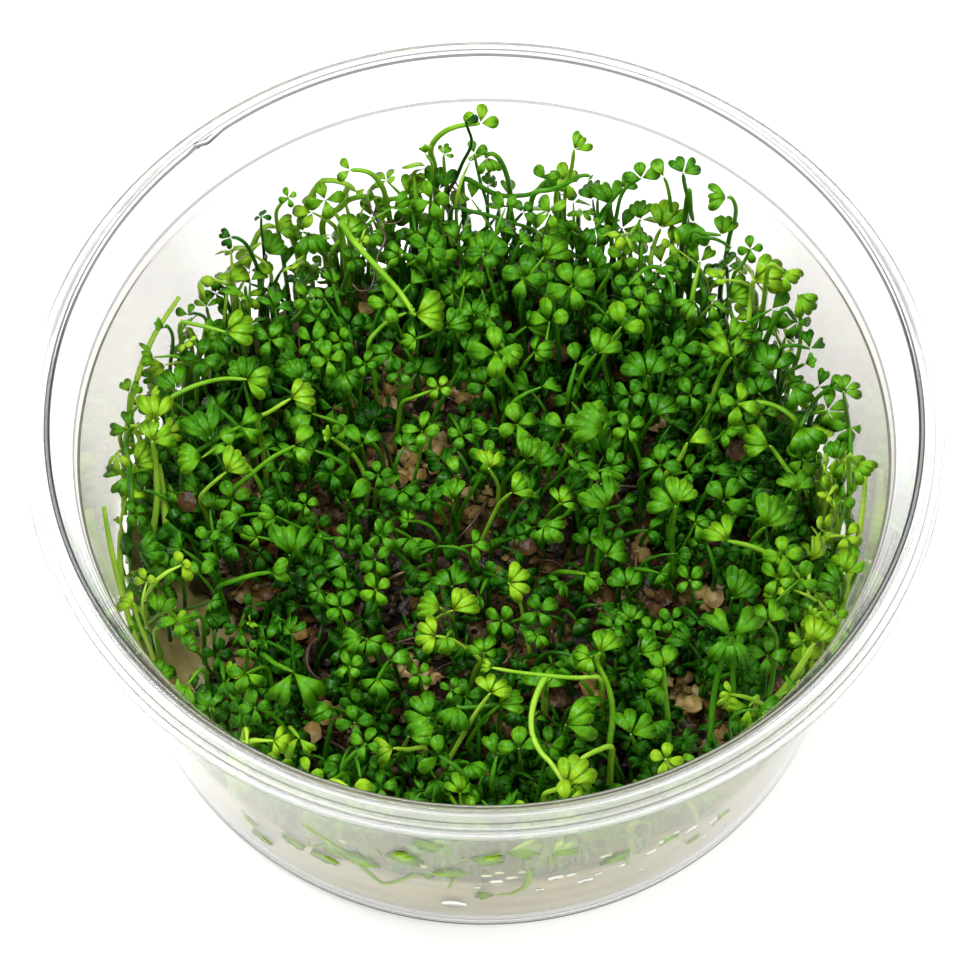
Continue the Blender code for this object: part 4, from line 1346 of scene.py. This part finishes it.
def seen_fronds(chance):
    """The fronds that the list above places."""
    fronds = []
    for line in SEEN_FRONDS.strip().split("\n"):
        head, leaf, way = line.split(" / ")
        kind, width, heading, youth_and_painted_light, girth, where, *figures = head.split()
        figures = [float(figure) for figure in figures]
        leaf = pixels_of(leaf)[0]
        *_, reach_share, setback = LEAF_KINDS[kind]
        turn = math.radians(float(heading))
        width = float(width) * MM
        back = width / MM * BACK_PIXELS_PER_MM * setback
        pixels = pixels_of(way)
        pixels.append([leaf[0] - back * math.cos(turn), leaf[1] + back * math.sin(turn)])
        last = len(pixels) - 1
        points = [place_seen(pixel, i / last, leaf, where, figures) for i, pixel in enumerate(pixels)]
        start = points[0]
        if start.z > LITTER_LEVEL + 1 * MM and where != "front":
            foot = start + Vector((chance.uniform(-1.5, 1.5), chance.uniform(-2.0, 0.5), 0)) * MM
            foot.z = LITTER_LEVEL - FOOT_DEPTH
            points = [foot, start.lerp(foot, 0.4) + Vector((0, 0.4, 0)) * MM] + points
        path = smooth_path(points, max(7, 3 * len(points)))
        ahead = Vector((math.cos(turn), math.sin(turn), 0.05))
        normal = Vector((chance.uniform(-0.25, 0.25), chance.uniform(-0.55, -0.15), 0.85))
        if where == "front":
            normal = Vector((*path[-1].xy.normalized(), -0.1))
            ahead = Vector((math.cos(turn), 0, math.sin(turn)))
        fronds.append(Frond(path, kind, width * reach_share, ahead, normal, float(youth_and_painted_light), float(girth)))
    return fronds


# Where the litter is seen between the plants: the pixel of the middle and the radius in mm, by its tone. The
# dark spots are painted shade in deep gaps.
BARE_SPOTS = {
    "tan": ((365, 310, 1.1), (255, 345, 0.9), (425, 365, 2.3), (375, 370, 1.4), (395, 395, 2.7),
            (440, 395, 2.3), (435, 445, 1.6), (410, 470, 1.8), (350, 410, 1.1), (475, 500, 2.3),
            (670, 420, 1.4), (640, 550, 1.6), (700, 585, 2.0), (715, 603, 1.6), (678, 690, 1.1),
            (692, 703, 1.6), (775, 680, 2.5), (590, 690, 2.0), (330, 720, 1.8), (405, 670, 0.9),
            (430, 680, 0.9), (720, 742, 1.4), (250, 480, 2.3), (468, 395, 1.6), (800, 690, 1.1)),
    "brown": ((385, 455, 1.6), (500, 515, 1.1), (540, 355, 1.8), (510, 315, 1.4), (570, 340, 1.6),
              (590, 310, 1.8), (620, 375, 1.4), (735, 450, 1.1), (755, 610, 0.9), (655, 600, 1.4),
              (252, 600, 2.0), (245, 660, 1.1), (265, 690, 1.4), (318, 735, 1.4), (395, 715, 1.1),
              (505, 725, 1.4), (700, 720, 2.0), (285, 470, 1.6), (262, 560, 2.0), (225, 560, 1.4),
              (305, 640, 0.9), (320, 505, 1.4), (545, 405, 1.1), (450, 520, 1.4), (350, 730, 1.1),
              (560, 600, 1.1), (560, 700, 1.1)),
    "dark": ((630, 490, 1.1), (570, 535, 2.5), (680, 668, 1.4), (225, 650, 2.0), (210, 625, 2.3),
             (200, 665, 1.6), (190, 590, 1.4), (330, 620, 1.8), (320, 655, 1.6), (380, 610, 2.7),
             (390, 570, 1.4), (620, 765, 1.8), (262, 405, 1.6), (205, 390, 1.4), (640, 470, 0.9),
             (700, 480, 1.6)),
    "gel": ((150, 630, 3.0), (178, 640, 1.8), (128, 560, 1.4)),
}
SPOT_TONES = {"tan": 0.95, "brown": 0.50, "dark": 0.0, "gel": 1.0}
BARE = [(on_level(pixel, LITTER_LEVEL).xy, radius * MM, SPOT_TONES[tone])
        for tone in BARE_SPOTS for *pixel, radius in BARE_SPOTS[tone]]


def seen_at(point, level):
    """Where the camera's line through a point meets a level."""
    shift = (point.z - level) / math.tan(CAMERA_ELEVATION)
    return Vector((point.x, point.y + shift))


def over_bare_spot(tip, room):
    """Whether a leaf would cover a place where the litter is seen."""
    seen = seen_at(tip, LITTER_LEVEL)
    return any((seen - place).length < radius + room * 0.65 for place, radius, _ in BARE)


NODDING_KINDS = ("fan", "palm", "fan", "umbrella", "pair", "three", "butterfly", "half")
UPRIGHT_KINDS = ("open", "open", "open", "umbrella", "palm", "fan")
LONGER_KINDS = ("fan", "half", "butterfly", "pair")


def filling_fronds(chance, seen):
    """The fronds between and under the seen ones: each has a place of its own and stays clear of them."""
    fronds = []
    taken = [(frond.middle, frond.reach) for frond in seen]
    for frond in seen:
        stalk = frond.path[len(frond.path) // 2::3]
        taken += [(point, 0.35 * MM) for point in stalk if point.z > LITTER_LEVEL + 4 * MM]
    golden = math.pi * (3 - math.sqrt(5))
    for i in range(FROND_COUNT + EDGE_FRONDS + LOW_FRONDS):
        low = i >= FROND_COUNT + EDGE_FRONDS
        along_wall = i >= FROND_COUNT and not low
        if along_wall:
            out = EDGE_RADIUS + chance.uniform(-1.5, 1.4) * MM
        else:
            out = PLANT_LIMIT * math.sqrt((i + 0.5) / FROND_COUNT % 1)
        angle = i * golden + chance.uniform(-0.3, 0.3)
        foot = polar(out, angle, LITTER_LEVEL - FOOT_DEPTH)
        high = canopy(foot.x, foot.y) - 0.5 * MM
        share = chance.uniform(0.68, 1.0) if chance.random() < 0.42 else chance.uniform(0.10, 0.70)
        if low:
            share = chance.uniform(0.05, 0.35)
        level = LITTER_LEVEL + (high - LITTER_LEVEL) * share
        crowding = 0.7 if along_wall or low else 1.0
        for _ in range(PLACING_TRIES):
            away = polar(1, chance.uniform(0, FULL_TURN))
            tip = Vector((foot.x, foot.y, level)) + away * chance.uniform(0.5, 2.5 + 4.0 * share) * MM
            reach = chance.uniform(1.45, 2.35) * MM * (0.8 + 0.35 * share)
            tip = inside_cup(tip, reach * 0.7)
            if over_bare_spot(tip, reach) and chance.random() < 0.96:
                continue
            if all(clear_of(tip, reach * crowding, place, room * crowding) for place, room in taken):
                break
        else:
            continue
        nod = math.radians(chance.uniform(5, 100))
        kind = chance.choice(NODDING_KINDS if nod > 0.87 else UPRIGHT_KINDS)
        reach *= 1.2 if kind in LONGER_KINDS else 1.0
        arrive = away * math.sin(nod) + UP * math.cos(nod)
        length = (tip - foot).length
        controls = (foot, foot + UP * 0.5 * length, tip - arrive * length * 0.4, tip)
        path = [bezier(controls, step / 8) for step in range(9)]
        normal = Vector((chance.uniform(-0.8, 0.8), chance.uniform(-0.9, 0.4), 0.8))
        if along_wall:
            normal += polar(1, angle) * 0.7
        # Painted light: higher fronds and fronds near the wall are made lighter, and those along the wall
        # most at the left and right; the rest is youth and chance.
        edge = max(0.0, out / PLANT_LIMIT - 0.7)
        youth_and_painted_light = 0.12 + 0.38 * share * share + 0.6 * edge + chance.uniform(-0.12, 0.20)
        youth_and_painted_light += 0.15 + 0.3 * abs(math.cos(angle)) if along_wall else 0.0
        taken.append((tip, reach))
        fronds.append(Frond(path, kind, reach, away + UP * 0.1, normal, youth_and_painted_light, chance.uniform(0.7, 1.15)))
    return fronds


def clear_of(tip, reach, place, room):
    """Whether a leaf keeps its distance from one that is there, and doesn't hide it from the front."""
    if (tip - place).length < 0.62 * (reach + room):
        return False
    if tip.z < place.z - 1.5 * MM:
        return True
    return (seen_at(tip, place.z) - place.xy).length > 0.55 * (reach + room)


def lines_of(name, fronds):
    """A mesh of one line for each frond, with what the tree needs at its points."""
    kinds = list(LEAF_KINDS)
    verts, edges = [], []
    values = {"girth": [], "youth_and_painted_light": [], "size": [], "kind": [], "tip": [], "turn": []}
    for number, frond in enumerate(fronds):
        for i, point in enumerate(frond.path):
            share = i / (len(frond.path) - 1)
            if i:
                edges.append((len(verts) - 1, len(verts)))
            verts.append(point)
            values["girth"].append(frond.girth * (1.15 - 0.40 * share) * (0.5 if share == 1 else 1))
            # Painted shade: the stalks of older fronds darken towards the foot, down in the shade of the
            # canopy.
            low = 0.55 if frond.youth_and_painted_light < 0.7 else 0.9
            values["youth_and_painted_light"].append(frond.youth_and_painted_light * (low + (1 - low) * share))
            values["size"].append(frond.reach / MM)
            values["kind"].append(kinds.index(frond.kind) * VARIANTS + number % VARIANTS)
            values["tip"].append(share == 1)
            values["turn"] += frond.turn if share == 1 else (0.0, 0.0, 0.0)
    mesh = bpy.data.meshes.new(name)
    mesh.from_pydata(verts, edges, [])
    types = {"kind": "INT", "tip": "BOOLEAN", "turn": "FLOAT_VECTOR"}
    for key, items in values.items():
        give(mesh, key, items, types.get(key, "FLOAT"))
    return put_in_scene(name, mesh)


def make_fronds():
    """Every frond, gathered by the tuft that it stands for."""
    chance = random.Random(42)
    seen = seen_fronds(chance)
    fronds = seen + filling_fronds(chance, seen)
    tufts = {}
    for node in frame["nodes"]:
        if node.startswith("tuft_"):
            low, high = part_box(node)
            tufts[node] = Vector(((low[0] + high[0]) / 2, (low[1] + high[1]) / 2))
    owned = {node: [] for node in tufts}
    for frond in fronds:
        owned[min(tufts, key=lambda node: (tufts[node] - frond.path[0].xy).length)].append(frond)
    shapes = leaf_shapes()
    tree = frond_tree()
    for node in sorted(owned):
        lines = lines_of(f"{node}_lines", owned[node])
        piece = tree.run(lines, f"{node}_fronds", Leaf_shapes=shapes, Stalk_sides=8,
                         Stalk_finish=FINISH["stalk_green"], Leaf_finish=FINISH["leaf_green"])
        own(piece, node)
    discard(shapes)


def own(piece, node):
    """Puts a piece in place of its solid: the piece is fastened to the root body and the solid is hidden."""
    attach(piece, "root")
    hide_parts(node)


# Runners along the wall: the angle in degrees and the height in mm of each point that they pass

RUNNERS = {
    "runner_left": ((176, 17.5), (169, 22.0), (161, 26.5), (153, 29.0), (145, 30.0)),
    "runner_front_left": ((206, 15.6), (199, 18.0), (192, 21.5), (187, 25.5), (183, 28.5)),
    "runner_right": ((-24, 16.0), (-16, 18.5), (-9, 22.5), (-3, 27.0), (3, 30.5)),
}
RUNNER_GIRTH = 0.40 * MM
RUNNER_POINTS = 120
# Youth and painted light: the runners are painted bright lime, for the light that shines through them.
RUNNER_YOUTH_AND_LIGHT = 0.95


def make_runner(node, stations):
    """A creeping stem that climbs along the inside of the wall."""
    points = []
    for degrees, height in stations:
        level = height * MM
        points.append(polar(inner_radius(level) - RUNNER_GIRTH - 0.2 * MM, math.radians(degrees), level))
    path = smooth_path(points, RUNNER_POINTS)
    stem = swept(f"{node}_stem", [(path, RUNNER_GIRTH)], FINISH["stalk_green"],
                 roundness=3, wave=0.08, pace=1.5, taper=0.3)
    give(stem.data, "youth_and_painted_light", [RUNNER_YOUTH_AND_LIGHT] * len(stem.data.vertices))
    own(stem, node)


# The drops of condensed water on the front of the wall: the pixel and the radius of each in mm
DROPS = (
    (487, 872, 0.5), (500, 869, 0.45), (497, 878, 0.6), (512, 874, 0.55), (523, 868, 0.4), (556, 874, 0.7),
    (571, 871, 0.5), (585, 877, 0.75), (598, 870, 0.4), (606, 852, 0.65), (622, 861, 0.35), (650, 848, 0.5),
    (664, 836, 0.7), (674, 829, 0.45), (690, 825, 0.6), (700, 834, 0.4), (712, 816, 0.55), (722, 822, 0.4),
    (640, 866, 0.35), (540, 886, 0.4), (455, 901, 1.1), (478, 884, 0.35), (345, 838, 0.4), (425, 863, 0.35),
)


def make_drops():
    """Drops of water on the inside of the wall, as one piece: flat caps that bulge inwards."""
    chance = random.Random(17)
    mesh_data = bmesh.new()
    for u, v, size in DROPS:
        place = on_front_wall((u, v), 0.05 * MM)
        outward = Vector((*place.xy.normalized(), 0))
        turn = Matrix((outward.cross(UP), UP, outward)).transposed().to_4x4()
        shape = Matrix.Diagonal((size * 1.3, size * chance.uniform(0.7, 1.0), min(size * 0.25, 0.1), 1)) * MM
        shape[3][3] = 1
        bmesh.ops.create_uvsphere(mesh_data, u_segments=14, v_segments=8, radius=1.0,
                                  matrix=Matrix.Translation(place) @ turn @ shape)
    return as_piece("wall_drops", mesh_data, FINISH["water"])


# Studio


def make_floor():
    """The pale floor, just under the cup."""
    mesh_data = bmesh.new()
    bmesh.ops.create_grid(mesh_data, x_segments=1, y_segments=1, size=3.0)
    floor = as_piece("floor", mesh_data, FINISH["studio_floor"])
    floor.location.z = -0.05 * MM


def make_light():
    """A sky that is bright above and greyer low down, and two soft lamps."""
    world = bpy.data.worlds.new("studio")
    world.use_nodes = True
    nodes, links = world.node_tree.nodes, world.node_tree.links
    background = nodes["Background"]
    background.inputs["Strength"].default_value = 0.60
    height = nodes.new("ShaderNodeSeparateXYZ")
    links.new(nodes.new("ShaderNodeTexCoord").outputs["Generated"], height.inputs[0])
    shade = nodes.new("ShaderNodeValToRGB")
    low, high = shade.color_ramp.elements
    low.position, low.color = 0.03, (0.45, 0.45, 0.46, 1)
    high.position, high.color = 0.45, (1, 1, 1, 1)
    links.new(height.outputs["Z"], shade.inputs["Fac"])
    links.new(shade.outputs["Color"], background.inputs["Color"])
    bpy.context.scene.world = world
    lamps = (("key", (-0.25, 0.15, 0.75), 0.45, 7.4), ("fill", (0.5, -0.3, 0.6), 0.6, 3.0))
    for name, place, size, power in lamps:
        lamp = bpy.data.lights.new(name, "AREA")
        lamp.size = size
        lamp.energy = power
        aim(put_in_scene(name, lamp), Vector(place), Vector((0, 0, 0.03)))


def aim(holder, place, target):
    """Puts a lamp or a camera at a place, towards a target."""
    holder.location = place
    holder.rotation_euler = (target - place).to_track_quat("-Z", "Y").to_euler()


def make_camera():
    """The camera of the photograph."""
    per_pixel = CAMERA_DISTANCE / FOCAL_PIXELS
    target = Vector((0, 0, CUP_HEIGHT)) + UPWARD * (RIM_MIDDLE_PIXEL[1] - IMAGE_SIDE / 2) * per_pixel
    target.x += (IMAGE_SIDE / 2 - RIM_MIDDLE_PIXEL[0]) * per_pixel
    lens = bpy.data.cameras.new("camera")
    lens.sensor_width = SENSOR_WIDTH
    lens.lens = FOCAL_PIXELS / IMAGE_SIDE * SENSOR_WIDTH
    lens.clip_start = 0.01
    bpy.context.scene.camera = put_in_scene("camera", lens)
    aim(bpy.context.scene.camera, CAMERA_PLACE, target)
    bpy.context.scene.view_settings.view_transform = "Standard"


FINISH = {make.__name__: make() for make in (
    clear_plastic, pale_gel, gel_crumb, litter_bed, dead_leaf, root, leaf_green, stalk_green, water,
    studio_floor)}

own(make_cup(), "cup")
own(make_gel(), "gel")
make_litter()
make_fronds()
own(make_drops(), "cup")
for node, stations in RUNNERS.items():
    make_runner(node, stations)
make_floor()
make_light()
make_camera()
